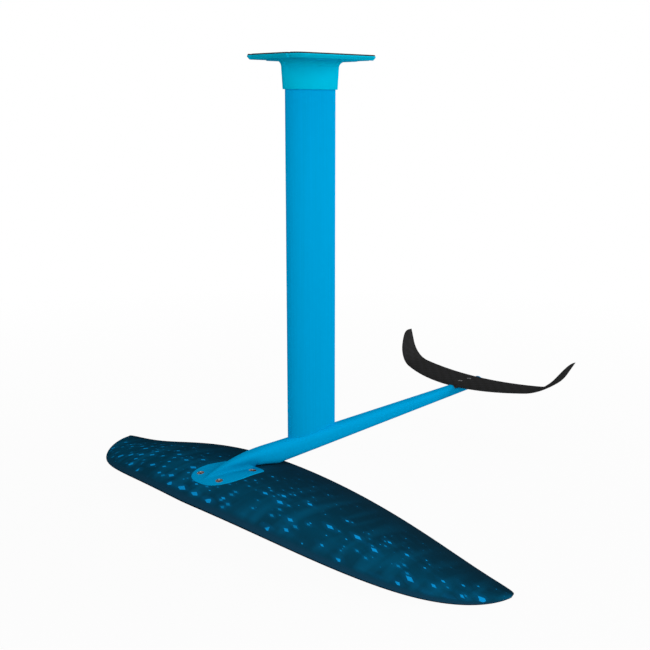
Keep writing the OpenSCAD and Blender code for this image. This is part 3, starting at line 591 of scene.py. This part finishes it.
def beam_points(angles, section):
    """Points of the beam's rounded section in Y and Z at angles from its port side over the top."""
    wide, top, widest, belly = section
    c, s = np.cos(angles), np.sin(angles)
    power = 2 / np.where(s >= 0, TOP_ROUNDNESS, BELLY_ROUNDNESS)
    reach = np.where(s >= 0, top - widest, belly - widest)
    return np.column_stack([wide * np.sign(c) * np.abs(c) ** power, widest + reach * np.abs(s) ** power])


def flange_half_width(x):
    """Half width of the flange: a blunt oval nose, straight sides and a square rear with round corners."""
    if x < FLANGE_REAR + FLANGE_CORNER:
        back = FLANGE_REAR + FLANGE_CORNER - x
        return FLANGE_REAR_HALF - FLANGE_CORNER + math.sqrt(max(FLANGE_CORNER ** 2 - back ** 2, 0))
    if x < flange_wide:
        run = (x - FLANGE_REAR - FLANGE_CORNER) / (flange_wide - FLANGE_REAR - FLANGE_CORNER)
        return FLANGE_REAR_HALF + (FLANGE_HALF - FLANGE_REAR_HALF) * run
    c = min((x - flange_wide) / (FLANGE_FRONT - flange_wide), 1) ** (1 / FLANGE_BLUNT)
    return FLANGE_HALF * math.sqrt(1 - c * c) ** FLANGE_BLUNT


def flange_face_z(x, y):
    """Height of the flange's upper face, just proud of the wing's."""
    return wing_face_z(x, y) + FLANGE_PROUD


def beam_root(x, section):
    """Angle on the beam's section where the cove down to the flange starts, and its height and width.

    The cove grows from nothing at the flange's rear and widens towards the nose, where it sinks with
    the beam."""
    rise = section[1] - float(flange_face_z(x, 0.0))
    if rise < COVE_LEAST:
        return None, 0.0, 0.0
    grow = ease(x, FLANGE_REAR, COVE_GROWTH)
    high = min(min(COVE_HEIGHT, COVE_SHARE * rise) * grow + COVE_LEAST, COVE_LIMIT * rise)
    broad = FLANGE_FILLET + (NOSE_COVE - FLANGE_FILLET) * ease(x, FLANGE_REAR + COVE_GROWTH, COVE_WIDENING)
    broad = min(broad, COVE_SPREAD * rise) * grow + COVE_LEAST
    angles = np.linspace(-math.pi / 2, math.pi / 2, 721)
    points = beam_points(angles, section)
    above = points[:, 1] - flange_face_z(x, points[:, 0]) - high
    return float(angles[np.argmax(above > 0)]), high, broad


TOP_STEPS = 40
FILLET_STEPS = 8
FACE_STEPS = 8
CORNER_ANGLES = (30, 60, 90)
SEAT_STEPS = 7
SIDE_STEPS = FILLET_STEPS + FACE_STEPS + len(CORNER_ANGLES) + SEAT_STEPS
TIP_HALF = 0.0004
TIP_SHARE = 0.3
CURVE_HANDLE = 0.55


def flange_ring(x):
    """Section of beam and flange together, as one ring."""
    section = beam_section(min(x, NOSE_REACH))
    half = max(flange_half_width(x), TIP_HALF)
    start, high, broad = (None, 0.0, 0.0) if x > NOSE_REACH else beam_root(x, section)
    if start is None:
        y = np.linspace(1, -1, TOP_STEPS + 1) * min(section[0], half * TIP_SHARE)
        top = np.column_stack([y, flange_face_z(x, y)])
    else:
        top = beam_points(np.linspace(start, math.pi - start, TOP_STEPS + 1), section)
    first = top[0]
    edge = min(FLANGE_EDGE, half * TIP_SHARE)
    foot = max(min(first[0] + broad, half - 2 * edge), first[0])
    away = first - top[1]
    away /= max(np.linalg.norm(away), 1e-12)
    p3 = np.array([foot, float(flange_face_z(x, foot))])
    p1 = first + away * CURVE_HANDLE * high
    p2 = p3 - np.array([CURVE_HANDLE * (foot - first[0]), 0])
    t = np.linspace(0, 1, FILLET_STEPS + 1)[1:, None]
    fillet_points = ((1 - t) ** 3 * first + 3 * t * (1 - t) ** 2 * p1
                     + 3 * t ** 2 * (1 - t) * p2 + t ** 3 * p3)
    outer = half - edge
    y = foot + (outer - foot) * np.linspace(0, 1, FACE_STEPS + 1)[1:]
    face_points = np.column_stack([y, flange_face_z(x, y)])
    turn = np.radians(CORNER_ANGLES)
    corner_points = np.column_stack([outer + edge * np.sin(turn),
                                     float(flange_face_z(x, outer)) - edge * (1 - np.cos(turn))])
    y = half * np.linspace(1, 0, SEAT_STEPS + 1)[:-1]
    seat_points = np.column_stack([y, np.full(SEAT_STEPS, flange_seat)])
    port = np.concatenate([fillet_points, face_points, corner_points, seat_points])
    starboard = port * (-1, 1)
    ring = np.concatenate([top, starboard, [(0.0, flange_seat)], port[::-1]])
    return np.column_stack([np.full(len(ring), x), ring])


def beam_ring(x, start):
    """Section of the beam alone, with as many points above and below as a ring with the flange."""
    section = beam_section(x)
    above = beam_points(np.linspace(start, math.pi - start, TOP_STEPS + 1), section)
    under = np.linspace(math.pi - start, 2 * math.pi + start, 2 * SIDE_STEPS + 3)[1:-1]
    ring = np.concatenate([above, beam_points(under, section)])
    return np.column_stack([np.full(len(ring), x), ring])


root_start, _, _ = beam_root(FLANGE_REAR, beam_section(FLANGE_REAR + 1e-9))
beam_xs = np.concatenate([
    -TAIL_REACH + TAIL_ROUND * (1 - np.cos(np.radians(np.linspace(0, 90, 9)))),
    np.linspace(-TAIL_REACH + TAIL_ROUND, WING_REAR, 40)[1:],
    np.linspace(WING_REAR, FLANGE_REAR, 40)[1:]])
rings = [beam_ring(x, root_start * min(max((x - FLANGE_REAR) / ROOT_RUN + 1, 0), 1)) for x in beam_xs[:-1]]
joint = flange_ring(FLANGE_REAR)
last = beam_ring(FLANGE_REAR, root_start)
last[:TOP_STEPS + 1] = joint[:TOP_STEPS + 1]
rings.append(last)
rings.append(joint)
for x in FLANGE_REAR + FLANGE_CORNER * (1 - np.cos(np.radians(np.linspace(0, 90, 9)[1:]))):
    rings.append(flange_ring(x))
for x in np.linspace(FLANGE_REAR + FLANGE_CORNER, flange_wide, 25)[1:]:
    rings.append(flange_ring(x))
for turn in np.radians(np.linspace(90, 0.6, 44)[1:]):
    rings.append(flange_ring(flange_wide + (FLANGE_FRONT - flange_wide) * math.cos(turn) ** FLANGE_BLUNT))
fuselage = loft("fuselage_beam", rings, blue)


def drill(x, y, top, bottom, radius):
    """Cutter for a plain round hole."""
    return turned("drill", x, y, 0.0, [(radius, top), (radius, bottom)])


# The solid's wing is straight from its middle to the first station beside it, and the screws sit by that.
first_share = WING_END * math.sin(math.radians(90 / CAD_STATIONS))
wing_screw_places = [(FLANGE_REAR + WING_SCREW_BACK + dx, side * WING_SCREW_SIDE)
                     for dx in (0, WING_SCREW_PITCH) for side in (-1, 1)]
wing_screw_drills = []
for x, y in wing_screw_places:
    fall = (wing_z - float(wing_line_z(np.float64(first_share)))) * abs(y) / (first_share * WING_SPAN / 2)
    head = float(wing_face_z(x, 0.0)) - fall - WING_HEAD_SINK
    wing_screw_drills.append(countersink(x, y, head, WING_SCREW, bare))
pocket_outline = mast_outline(MAST_STEPS, SLIDE_FIT)
pocket = loft("pocket", [at_height(pocket_outline, z) for z in (mast_foot + CUTTER_REACH, mast_foot)])
notch_outline = np.array([(-stab_rear - BED_GAP, -CUTTER_REACH), (-STAB_FRONT + BED_GAP, -CUTTER_REACH),
                          (-STAB_FRONT + BED_GAP, CUTTER_REACH), (-stab_rear - BED_GAP, CUTTER_REACH)])
notch = loft("notch", [at_height(notch_outline, z) for z in (stab_seat + CUTTER_REACH, stab_seat)])
screw_drills = [drill(x, 0, mast_foot + CUTTER_REACH, belly_line(x) - CUTTER_REACH,
                      MAST_SCREW / 2 + HOLE_FIT) for x in mast_screw_xs]
counterbores = [drill(x, 0, belly_line(x) + CAP_DEPTH, belly_line(x) - CUTTER_REACH,
                      CAP_REACH * MAST_SCREW + HOLE_FIT) for x in mast_screw_xs]
bush_drills = [drill(x, 0, stab_seat + CUTTER_REACH, stab_seat - STAB_BUSH_DEPTH, STAB_BUSH_RADIUS)
               for x in stab_screw_xs]
machine(fuselage, [pocket, notch] + wing_screw_drills + screw_drills + counterbores + bush_drills)
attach(fuselage, "root")
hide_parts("fuselage")

# FRONT WING SKINS
# Two shells of carbon cloth in epoxy, laid up in a mould and bonded along the edges, then lacquered.
# The upper shell has an oval opening for the fuselage's flange and a printed film under the lacquer.
WING_SKIN = 0.0012
CORE_SHARE = (0.9006, 0.9434)
CORE_PLACES = (0.065, 0.1, 0.73, 0.82)
BOND_HALF = 0.0001
BOND_SHARE = 1 / 40


def foil_shell(name, stations, section, skin, side, material):
    """Upper (1) or lower (-1) shell of a wing, hollow where the core sits.

    A station is front edge, chord, place across, height, tilt, rise to the rear and how far the hollow
    is open there."""
    thickness, camber, edge = section
    u = (1 - np.cos(np.linspace(0, np.pi, 45))) / 2
    open_along = np.interp(u, CORE_PLACES, (0, 1, 1, 0))
    rings = []
    for front, chord, y, z, tilt, rise, hollow in stations:
        half = thickness * chord * foil_half(u) + edge * u / 2
        middle = camber * chord * camber_line(u)
        bond = min(BOND_HALF, thickness * chord * BOND_SHARE)
        inner = bond + np.maximum(half - skin, 0) * open_along * hollow
        height = np.concatenate([middle + side * half, (middle + side * inner)[:0:-1]])
        along = np.concatenate([u, u[:0:-1]])
        rings.append(np.column_stack([front - along * chord, y - height * math.sin(tilt),
                                      z + along * rise + height * math.cos(tilt)]))
    return loft(name, rings, material)


wing_stations = []
for turn in np.radians(np.linspace(-90, 90, 121)):
    share = WING_END * abs(math.sin(turn))
    front = float(wing_front_x(share))
    chord = front - float(wing_rear_x(share))
    across = math.copysign(share * WING_SPAN / 2, turn)
    rise = float((TIP_REAR_LIFT - TIP_FRONT_LIFT) * tip_share(share))
    hollow = float(np.interp(share, CORE_SHARE, (1, 0)))
    wing_stations.append((front, chord, across, float(wing_line_z(share)), 0.0, rise, hollow))
wing_section = (WING_THICKNESS, WING_CAMBER, WING_EDGE)

# Lacquered carbon laminate with a printed film: a matt lacquer over a navy that is lightest behind the
# front edge, with a greyer strip on the front edge itself that is a painted highlight, soft teal streaks
# 22 mm apart and two sizes of blue lozenges in loose rows, 18 mm and 9 mm apart. The streaks and the
# lozenges thin out towards the rear.
lacquer, tree, shader = new_finish("lacquered_laminate_printed", {
    "Roughness": 0.4, "Specular IOR Level": 0.0})
where = add(tree, "TexCoord")
spot = add(tree, "SeparateXYZ", {}, {"Vector": where.outputs["Object"]})
chord_place = add(tree, "SeparateXYZ", {}, {"Vector": where.outputs["UV"]})
# Painted highlight: the greyer first stop, on the front edge, stands in for a sheen there; the other stops
# are the print's navy ground.
ground_with_painted_edge_highlight = add(tree, "ValToRGB", {}, {"Fac": chord_place.outputs[1]})
set_stops(ground_with_painted_edge_highlight, [(0.0, "#1a4660"), (0.04, "#0c435b"), (0.2, "#074964"), (0.5, "#09394e"),
                   (0.8, "#0c2f40"), (1.0, "#112b39")])
fade = add(tree, "ValToRGB", {}, {"Fac": chord_place.outputs[1]})
set_stops(fade, [(0.02, "#000000"), (0.06, "#ffffff"), (0.35, "#d8d8d8"), (0.7, "#808080"),
                 (0.95, "#303030")])
drawn_out = add(tree, "Mapping", {"Scale": (1 / 0.12, 1 / 0.022, 1 / 0.12)},
                {"Vector": where.outputs["Object"]})
haze = add(tree, "TexNoise", {"Scale": 1.0, "Detail": 1.0}, {"Vector": drawn_out.outputs[0]})
streak = add(tree, "MapRange", {"From Min": 0.45, "From Max": 0.75, "To Max": 0.5},
             {"Value": haze.outputs[0]})
streak_here = add(tree, "Math", {"operation": "MULTIPLY"}, {0: streak.outputs[0], 1: fade.outputs[0]})
printed = add(tree, "Mix", {"data_type": "RGBA", 7: linear("#08709a")},
              {0: streak_here.outputs[0], 6: ground_with_painted_edge_highlight.outputs[0]})
# Each lozenge sits in a cell of a grid whose rows are staggered by chance. Chance also gives its size, or
# leaves the cell bare. Row pitch, pitch along the row, share of bare cells and colour, small ones first:
LOZENGES = ((0.009, 0.017, 0.75, "#0a86c0"), (0.018, 0.034, 0.25, "#0fa4ee"))
for row_pitch, column_pitch, bare_share, colour in LOZENGES:
    row = add(tree, "Math", {"operation": "DIVIDE", 1: row_pitch}, {0: spot.outputs[0]})
    row_number = add(tree, "Math", {"operation": "FLOOR"}, {0: row.outputs[0]})
    row_place = add(tree, "Math", {"operation": "FRACT"}, {0: row.outputs[0]})
    stagger = add(tree, "TexWhiteNoise", {"noise_dimensions": "1D"}, {"W": row_number.outputs[0]})
    column = add(tree, "Math", {"operation": "DIVIDE", 1: column_pitch}, {0: spot.outputs[1]})
    shifted = add(tree, "Math", {"operation": "ADD"}, {0: column.outputs[0], 1: stagger.outputs[0]})
    column_number = add(tree, "Math", {"operation": "FLOOR"}, {0: shifted.outputs[0]})
    column_place = add(tree, "Math", {"operation": "FRACT"}, {0: shifted.outputs[0]})
    across = add(tree, "Math", {"operation": "SUBTRACT", 1: 0.5}, {0: row_place.outputs[0]})
    along = add(tree, "Math", {"operation": "SUBTRACT", 1: 0.5}, {0: column_place.outputs[0]})
    across_size = add(tree, "Math", {"operation": "ABSOLUTE"}, {0: across.outputs[0]})
    along_size = add(tree, "Math", {"operation": "ABSOLUTE"}, {0: along.outputs[0]})
    reach = add(tree, "Math", {"operation": "ADD"}, {0: across_size.outputs[0], 1: along_size.outputs[0]})
    cell = add(tree, "CombineXYZ", {}, {0: row_number.outputs[0], 1: column_number.outputs[0]})
    chance = add(tree, "TexWhiteNoise", {"noise_dimensions": "2D"}, {"Vector": cell.outputs[0]})
    drawn = add(tree, "MapRange", {"From Min": bare_share, "From Max": 1.0}, {"Value": chance.outputs[0]})
    strength = add(tree, "Math", {"operation": "MULTIPLY"}, {0: fade.outputs[0], 1: drawn.outputs[0]})
    size = add(tree, "Math", {"operation": "MULTIPLY", 1: 0.4}, {0: strength.outputs[0]})
    inside = add(tree, "Math", {"operation": "SUBTRACT"}, {0: size.outputs[0], 1: reach.outputs[0]})
    lozenge = add(tree, "MapRange", {"From Min": 0.0, "From Max": 0.06}, {"Value": inside.outputs[0]})
    glow = add(tree, "MapRange", {"From Min": -0.5, "From Max": 0.1, "To Max": 0.4},
               {"Value": inside.outputs[0]})
    glow_here = add(tree, "Math", {"operation": "MULTIPLY"}, {0: glow.outputs[0], 1: strength.outputs[0]})
    haloed = add(tree, "Mix", {"data_type": "RGBA", 7: linear("#0474ac")},
                 {0: glow_here.outputs[0], 6: printed.outputs[2]})
    printed = add(tree, "Mix", {"data_type": "RGBA", 7: linear(colour)},
                  {0: lozenge.outputs[0], 6: haloed.outputs[2]})
tree.links.new(printed.outputs[2], shader.inputs["Base Color"])
peel = add(tree, "TexNoise", {"Scale": 1 / 0.006, "Detail": 1.0}, {"Vector": where.outputs["Object"]})
bump = add(tree, "Bump", {"Strength": 0.03, "Distance": 0.0002}, {"Height": peel.outputs[0]})
tree.links.new(bump.outputs[0], shader.inputs["Normal"])

upper = foil_shell("front_wing_upper_shell", wing_stations, wing_section, WING_SKIN, 1, lacquer)
nose_turn = np.radians(np.linspace(0, 90, 40))
nose_length = FLANGE_FRONT - flange_wide + BED_GAP
side_outline = np.concatenate([
    np.column_stack([flange_wide + nose_length * np.cos(nose_turn) ** FLANGE_BLUNT,
                     (FLANGE_HALF + BED_GAP) * np.sin(nose_turn) ** FLANGE_BLUNT]),
    arc(FLANGE_REAR + FLANGE_CORNER, FLANGE_REAR_HALF - FLANGE_CORNER, FLANGE_CORNER + BED_GAP, 90, 180)])
opening_outline = np.concatenate([side_outline, side_outline[:0:-1] * (1, -1)])
opening_ends = (wing_crest + CUTTER_REACH, wing_z - CUTTER_REACH)
opening = loft("opening", [at_height(opening_outline, z) for z in opening_ends])
machine(upper, [opening])


def lay_film(piece):
    """Film coordinates over a wing, from 0 to 1 across the span and along the chord.

    They stop short of the very tip, where the chord is nothing."""
    mesh = piece.data
    points = np.array([v.co[:] for v in mesh.vertices])
    share = np.clip(np.abs(points[:, 1]) / (WING_SPAN / 2), 0, 1 - 1e-5)
    front = wing_front_x(share)
    u = np.clip((front - points[:, 0]) / (front - wing_rear_x(share)), 0, 1)
    film = mesh.uv_layers.new(name="film")
    corners = np.array([loop.vertex_index for loop in mesh.loops])
    film.data.foreach_set("uv", np.column_stack([0.5 + points[corners, 1] / WING_SPAN, u[corners]]).ravel())


lay_film(upper)
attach(upper, "root")
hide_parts("front_wing_upper_skin")

# Lacquered carbon laminate, plain: the same navy lacquer with no film, and the cloth's 2 mm
# tows just showing through it.
plain_lacquer, tree, shader = new_finish("lacquered_laminate_plain", {
    "Roughness": 0.4, "Specular IOR Level": 0.0})
where = add(tree, "TexCoord")
warp = add(tree, "TexWave", {"wave_type": "BANDS", "bands_direction": "X", "Scale": 1 / 0.04},
           {"Vector": where.outputs["Object"]})
weft = add(tree, "TexWave", {"wave_type": "BANDS", "bands_direction": "Y", "Scale": 1 / 0.04},
           {"Vector": where.outputs["Object"]})
cloth = add(tree, "Math", {"operation": "MULTIPLY"}, {0: warp.outputs[1], 1: weft.outputs[1]})
tint = add(tree, "ValToRGB", {}, {"Fac": cloth.outputs[0]})
set_stops(tint, [(0.0, "#071a29"), (1.0, "#0c2940")])
tree.links.new(tint.outputs[0], shader.inputs["Base Color"])
lower = foil_shell("front_wing_lower_shell", wing_stations, wing_section, WING_SKIN, -1, plain_lacquer)
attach(lower, "root")
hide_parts("front_wing_lower_skin")

# INSIDE OF THE FRONT WING
# A milled core of rigid foam fills the shells. Under the flange it makes way for a block of glass
# laminate with four pressed-in bushes.
# Rigid foam, milled: cream and matt, with cells of 0.5 mm drawn at 1 mm.
core_foam, tree, shader = new_finish("rigid_foam_cream", {"Roughness": 0.95, "Specular IOR Level": 0.2})
where = add(tree, "TexCoord")
cells = add(tree, "TexVoronoi", {"Scale": 1 / 0.001}, {"Vector": where.outputs["Object"]})
tint = add(tree, "ValToRGB", {}, {"Fac": cells.outputs[0]})
set_stops(tint, [(0.1, "#dcd4bd"), (0.7, "#ece6d4")])
tree.links.new(tint.outputs[0], shader.inputs["Base Color"])
bump = add(tree, "Bump", {"Strength": 0.5, "Distance": 0.0002}, {"Height": cells.outputs[0]})
tree.links.new(bump.outputs[0], shader.inputs["Normal"])
dress("front_wing_core", core_foam)

# Glass laminate, sawn from a sheet: straw-coloured and half clear, with its layers 0.2 mm apart drawn
# at 1 mm.
glass_laminate, tree, shader = new_finish("glass_laminate_straw", {"Roughness": 0.55, "IOR": 1.5})
where = add(tree, "TexCoord")
layers = add(tree, "TexWave", {"wave_type": "BANDS", "bands_direction": "Z", "Scale": 1 / 0.02},
             {"Vector": where.outputs["Object"]})
tint = add(tree, "ValToRGB", {}, {"Fac": layers.outputs[1]})
set_stops(tint, [(0.2, "#b09f6c"), (0.8, "#bfb084")])
tree.links.new(tint.outputs[0], shader.inputs["Base Color"])
dress("front_wing_block", glass_laminate)
dress("front_wing_bushes", bare)

# FRONT WING SCREWS
# Four countersunk socket screws that hold the flange down on the block in the wing.
# Steel with a baked bronze-brown coating: dark and satin, worn a little lighter in patches of 2 mm.
bronze, tree, shader = new_finish("coated_steel_bronze", {"Metallic": 0.8})
where = add(tree, "TexCoord")
worn = add(tree, "TexNoise", {"Scale": 1 / 0.002, "Detail": 3.0}, {"Vector": where.outputs["Object"]})
tint = add(tree, "ValToRGB", {}, {"Fac": worn.outputs[0]})
set_stops(tint, [(0.35, "#4a342c"), (0.75, "#7a5c4e")])
tree.links.new(tint.outputs[0], shader.inputs["Base Color"])
gloss = add(tree, "MapRange", {"To Min": 0.35, "To Max": 0.5}, {"Value": worn.outputs[0]})
tree.links.new(gloss.outputs[0], shader.inputs["Roughness"])
dress("front_wing_screws", bronze)

# STABILISER SKINS
# Two shells of carbon cloth in epoxy, bonded like the front wing's, with raised tips. They are left
# without lacquer and rubbed down to a matt black.
STAB_EDGE = 0.0008
STAB_SKIN = 0.0009
STAB_FLAT = 0.1476
STAB_DIHEDRAL = math.radians(5)
STAB_BEND = 0.064
STAB_TIP_TILT = math.radians(62.3)
STAB_TIP = 0.0284
STAB_TIP_POWER = 3.4
STAB_TIP_ROUND = 0.24
STAB_END = 0.999
STAB_FRONT_SWEEP = 0.0777
STAB_FRONT_EASE = 0.27
STAB_REAR_SWEEP = 0.0314
STAB_REAR_EASE = 0.08
STAB_CORE_SHARE = (0.781, 0.845)
STAB_HEAD_SINK = 0.0005
middle_bend = STAB_FLAT / STAB_DIHEDRAL
stab_bend_end = STAB_FLAT + STAB_BEND * (STAB_TIP_TILT - STAB_DIHEDRAL)
stab_reach = stab_bend_end + STAB_TIP


def stab_station(turn):
    """Station of the stabiliser: a long flat arc, a tight bend and a straight tip on each side."""
    t = STAB_END * abs(math.sin(turn))
    run = t * stab_reach
    tilt = run / middle_bend if run < STAB_FLAT else STAB_DIHEDRAL + (run - STAB_FLAT) / STAB_BEND
    tilt = min(tilt, STAB_TIP_TILT)
    beyond = max(run - stab_bend_end, 0)
    y = middle_bend * math.sin(min(tilt, STAB_DIHEDRAL))
    z = middle_bend * (1 - math.cos(min(tilt, STAB_DIHEDRAL)))
    if tilt > STAB_DIHEDRAL:
        y += STAB_BEND * (math.sin(tilt) - math.sin(STAB_DIHEDRAL)) + beyond * math.cos(tilt)
        z += STAB_BEND * (math.cos(STAB_DIHEDRAL) - math.cos(tilt)) + beyond * math.sin(tilt)
    rear = -stab_rear - STAB_REAR_SWEEP * ((1 + STAB_REAR_EASE) * t ** 2 - STAB_REAR_EASE * t ** 6)
    front = -STAB_FRONT - STAB_FRONT_SWEEP * ((1 + STAB_FRONT_EASE) * t ** 2 - STAB_FRONT_EASE * t ** 4)
    chord = (front - rear) * (1 - t ** STAB_TIP_POWER) ** STAB_TIP_ROUND
    return (rear + chord, chord, math.copysign(y, turn), stab_z + z, math.copysign(tilt, turn), 0.0,
            float(np.interp(t, STAB_CORE_SHARE, (1, 0))))


# Carbon laminate, rubbed down: matt black in which the 2 mm tows of the 2x2 twill just show as
# slanting steps.
matt_carbon, tree, shader = new_finish("carbon_laminate_matt", {
    "Roughness": 0.6, "Specular IOR Level": 0.0})
where = add(tree, "TexCoord")
turned_cloth = add(tree, "Mapping", {"Rotation": (0, 0, math.radians(45))},
                   {"Vector": where.outputs["Object"]})
warp = add(tree, "TexWave", {"wave_type": "BANDS", "bands_direction": "X", "Scale": 1 / 0.05},
           {"Vector": turned_cloth.outputs[0]})
weft = add(tree, "TexWave", {"wave_type": "BANDS", "bands_direction": "Y", "Scale": 1 / 0.05},
           {"Vector": turned_cloth.outputs[0]})
cloth = add(tree, "Math", {"operation": "GREATER_THAN"}, {0: warp.outputs[1], 1: weft.outputs[1]})
tint = add(tree, "ValToRGB", {}, {"Fac": cloth.outputs[0]})
set_stops(tint, [(0.0, "#2e2e2e"), (1.0, "#323233")])
tree.links.new(tint.outputs[0], shader.inputs["Base Color"])
bump = add(tree, "Bump", {"Strength": 0.03, "Distance": 0.0001}, {"Height": cloth.outputs[0]})
tree.links.new(bump.outputs[0], shader.inputs["Normal"])

stab_stations = [stab_station(turn) for turn in np.radians(np.linspace(-90, 90, 97))]
for name, side in (("stab_upper_shell", 1), ("stab_lower_shell", -1)):
    shell = foil_shell(name, stab_stations, (STAB_THICKNESS, 0.0, STAB_EDGE), STAB_SKIN, side, matt_carbon)
    drills = []
    for x in stab_screw_xs:
        u = (-STAB_FRONT - x) / STAB_CHORD
        head = stab_z + STAB_THICKNESS * STAB_CHORD * foil_half(u) + STAB_EDGE * u / 2 - STAB_HEAD_SINK
        drills.append(countersink(x, 0, head, STAB_SCREW))
    machine(shell, drills)
    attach(shell, "root")
    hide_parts("stab_upper_skin" if side > 0 else "stab_lower_skin")

# INSIDE OF THE STABILISER AND ITS SEAT
# Foam fills the shells on both sides of a hard block, which the two screws clamp. A moulded saddle
# packs the stabiliser up from the notch in the fuselage, and the screws end in bushes there.
dress("stab_core", core_foam)
dress("stab_block", glass_laminate)
dress("stab_bushes", bare)

# Stainless steel, blasted: dark grey and soft, with a grit of 0.2 mm drawn at 0.6 mm.
grey_steel, tree, shader = new_finish("stainless_steel_blasted", {"Metallic": 0.6})
where = add(tree, "TexCoord")
grit = add(tree, "TexNoise", {"Scale": 1 / 0.0006, "Detail": 2.0}, {"Vector": where.outputs["Object"]})
tint = add(tree, "ValToRGB", {}, {"Fac": grit.outputs[0]})
set_stops(tint, [(0.3, "#4c4d4f"), (0.7, "#66676a")])
tree.links.new(tint.outputs[0], shader.inputs["Base Color"])
gloss = add(tree, "MapRange", {"To Min": 0.45, "To Max": 0.6}, {"Value": grit.outputs[0]})
tree.links.new(gloss.outputs[0], shader.inputs["Roughness"])
dress("stab_screws", grey_steel)

# Nylon, injection moulded: black and satin with a fine spark-eroded texture, 0.2 mm drawn at 0.8 mm.
nylon, tree, shader = new_finish("moulded_nylon_black", {"Roughness": 0.55, "IOR": 1.53})
where = add(tree, "TexCoord")
grain = add(tree, "TexNoise", {"Scale": 1 / 0.0008, "Detail": 2.0}, {"Vector": where.outputs["Object"]})
tint = add(tree, "ValToRGB", {}, {"Fac": grain.outputs[0]})
set_stops(tint, [(0.3, "#1c1d20"), (0.7, "#2a2c30")])
tree.links.new(tint.outputs[0], shader.inputs["Base Color"])
bump = add(tree, "Bump", {"Strength": 0.3, "Distance": 0.0001}, {"Height": grain.outputs[0]})
tree.links.new(bump.outputs[0], shader.inputs["Normal"])
dress("stab_saddle", nylon)

# STUDIO
# A round pale floor under the wing tips, a white surround and five large soft lamps, as for a
# catalogue photograph: the key stands behind on the port side and the others fill in round it.
FLOOR_GAP = 0.0005
FLOOR_RADIUS = 6.0
FLOOR_STEPS = 96
floor_ring = at_height(circle(0, 0, FLOOR_RADIUS, FLOOR_STEPS), cad_box[0][2] - FLOOR_GAP)
floor_mesh = bpy.data.meshes.new("floor")
floor_mesh.from_pydata(floor_ring.tolist(), [], [tuple(range(FLOOR_STEPS))])
floor = bpy.data.objects.new("floor", floor_mesh)
bpy.context.scene.collection.objects.link(floor)


def seen_directly(tree):
    """1 for what the camera sees, also in a reflection or through glass, and 0 for light on the object."""
    path = add(tree, "LightPath")
    seen = add(tree, "Math", {"operation": "MAXIMUM"},
               {0: path.outputs["Is Camera Ray"], 1: path.outputs["Is Glossy Ray"]})
    shown = add(tree, "Math", {"operation": "MAXIMUM"},
                {0: seen.outputs[0], 1: path.outputs["Is Transmission Ray"]})
    return shown.outputs[0]


# White paper roll: matt. Where the camera or a reflection sees it, most of its white is its own, so
# that it reads as white and keeps a light shadow.
paper = bpy.data.materials.new("white_paper_roll")
paper.use_nodes = True
tree = paper.node_tree
tree.nodes.clear()
where = add(tree, "TexCoord")
away = add(tree, "VectorMath", {"operation": "LENGTH"}, {0: where.outputs["Object"]})
share = add(tree, "MapRange", {"From Min": 0.9, "From Max": 2.2, "To Min": 0.96, "To Max": 1.0},
            {"Value": away.outputs["Value"]})
own_white = add(tree, "Math", {"operation": "MULTIPLY"}, {0: seen_directly(tree), 1: share.outputs[0]})
matt = add(tree, "BsdfDiffuse", {"Color": linear("#c8c8c8")})
white = add(tree, "Emission", {"Color": linear("#ffffff"), "Strength": 1.0})
mixed = add(tree, "MixShader", {}, {0: own_white.outputs[0], 1: matt.outputs[0], 2: white.outputs[0]})
add(tree, "OutputMaterial", {}, {"Surface": mixed.outputs[0]})
floor_mesh.materials.append(paper)

world = bpy.data.worlds.new("white_surround")
bpy.context.scene.world = world
world.use_nodes = True
tree = world.node_tree
tree.nodes.clear()
level = add(tree, "MapRange", {"To Min": 0.21, "To Max": 1.0}, {"Value": seen_directly(tree)})
surround = add(tree, "Background", {"Color": linear("#ffffff")}, {"Strength": level.outputs[0]})
add(tree, "OutputWorld", {}, {"Surface": surround.outputs[0]})


# The soft boxes are square and face the middle of the object. Each has its place, width and power in watts.
OBJECT_MIDDLE = np.array((0, 0, -0.4))
SOFT_BOXES = (("rear_key_soft_box", (-3.5, 1.6, 0.3), 2.2, 97),
              ("camera_side_soft_box", (1.7, 2.2, 0.5), 1.6, 31),
              ("top_soft_box", (-0.8, 1.2, 2.8), 2.0, 17),
              ("front_soft_box", (3.2, -1.8, 0.4), 1.8, 9),
              ("starboard_soft_box", (-0.5, -4.0, -0.1), 2.2, 40))
for name, place, width, power in SOFT_BOXES:
    lamp = bpy.data.lights.new(name, "AREA")
    lamp.size = width
    lamp.energy = power
    holder = bpy.data.objects.new(name, lamp)
    holder.location = place
    aim = OBJECT_MIDDLE - np.array(place)
    flat = math.hypot(aim[0], aim[1])
    holder.rotation_euler = (math.atan2(flat, -aim[2]), 0, math.atan2(-aim[0], aim[1]))
    bpy.context.scene.collection.objects.link(holder)

# The camera that was fitted to the photograph; it looks 12.67 degrees down.
camera_data = bpy.data.cameras.new("photo_camera")
camera_data.lens = 54.798
camera_data.sensor_width = 36.0
camera = bpy.data.objects.new("photo_camera", camera_data)
camera.location = (1.1628, 1.2065, -0.0764)
camera.rotation_euler = (math.radians(90 - 12.670), 0, math.radians(135.341))
bpy.context.scene.collection.objects.link(camera)
bpy.context.scene.camera = camera
bpy.context.scene.view_settings.view_transform = "Standard"
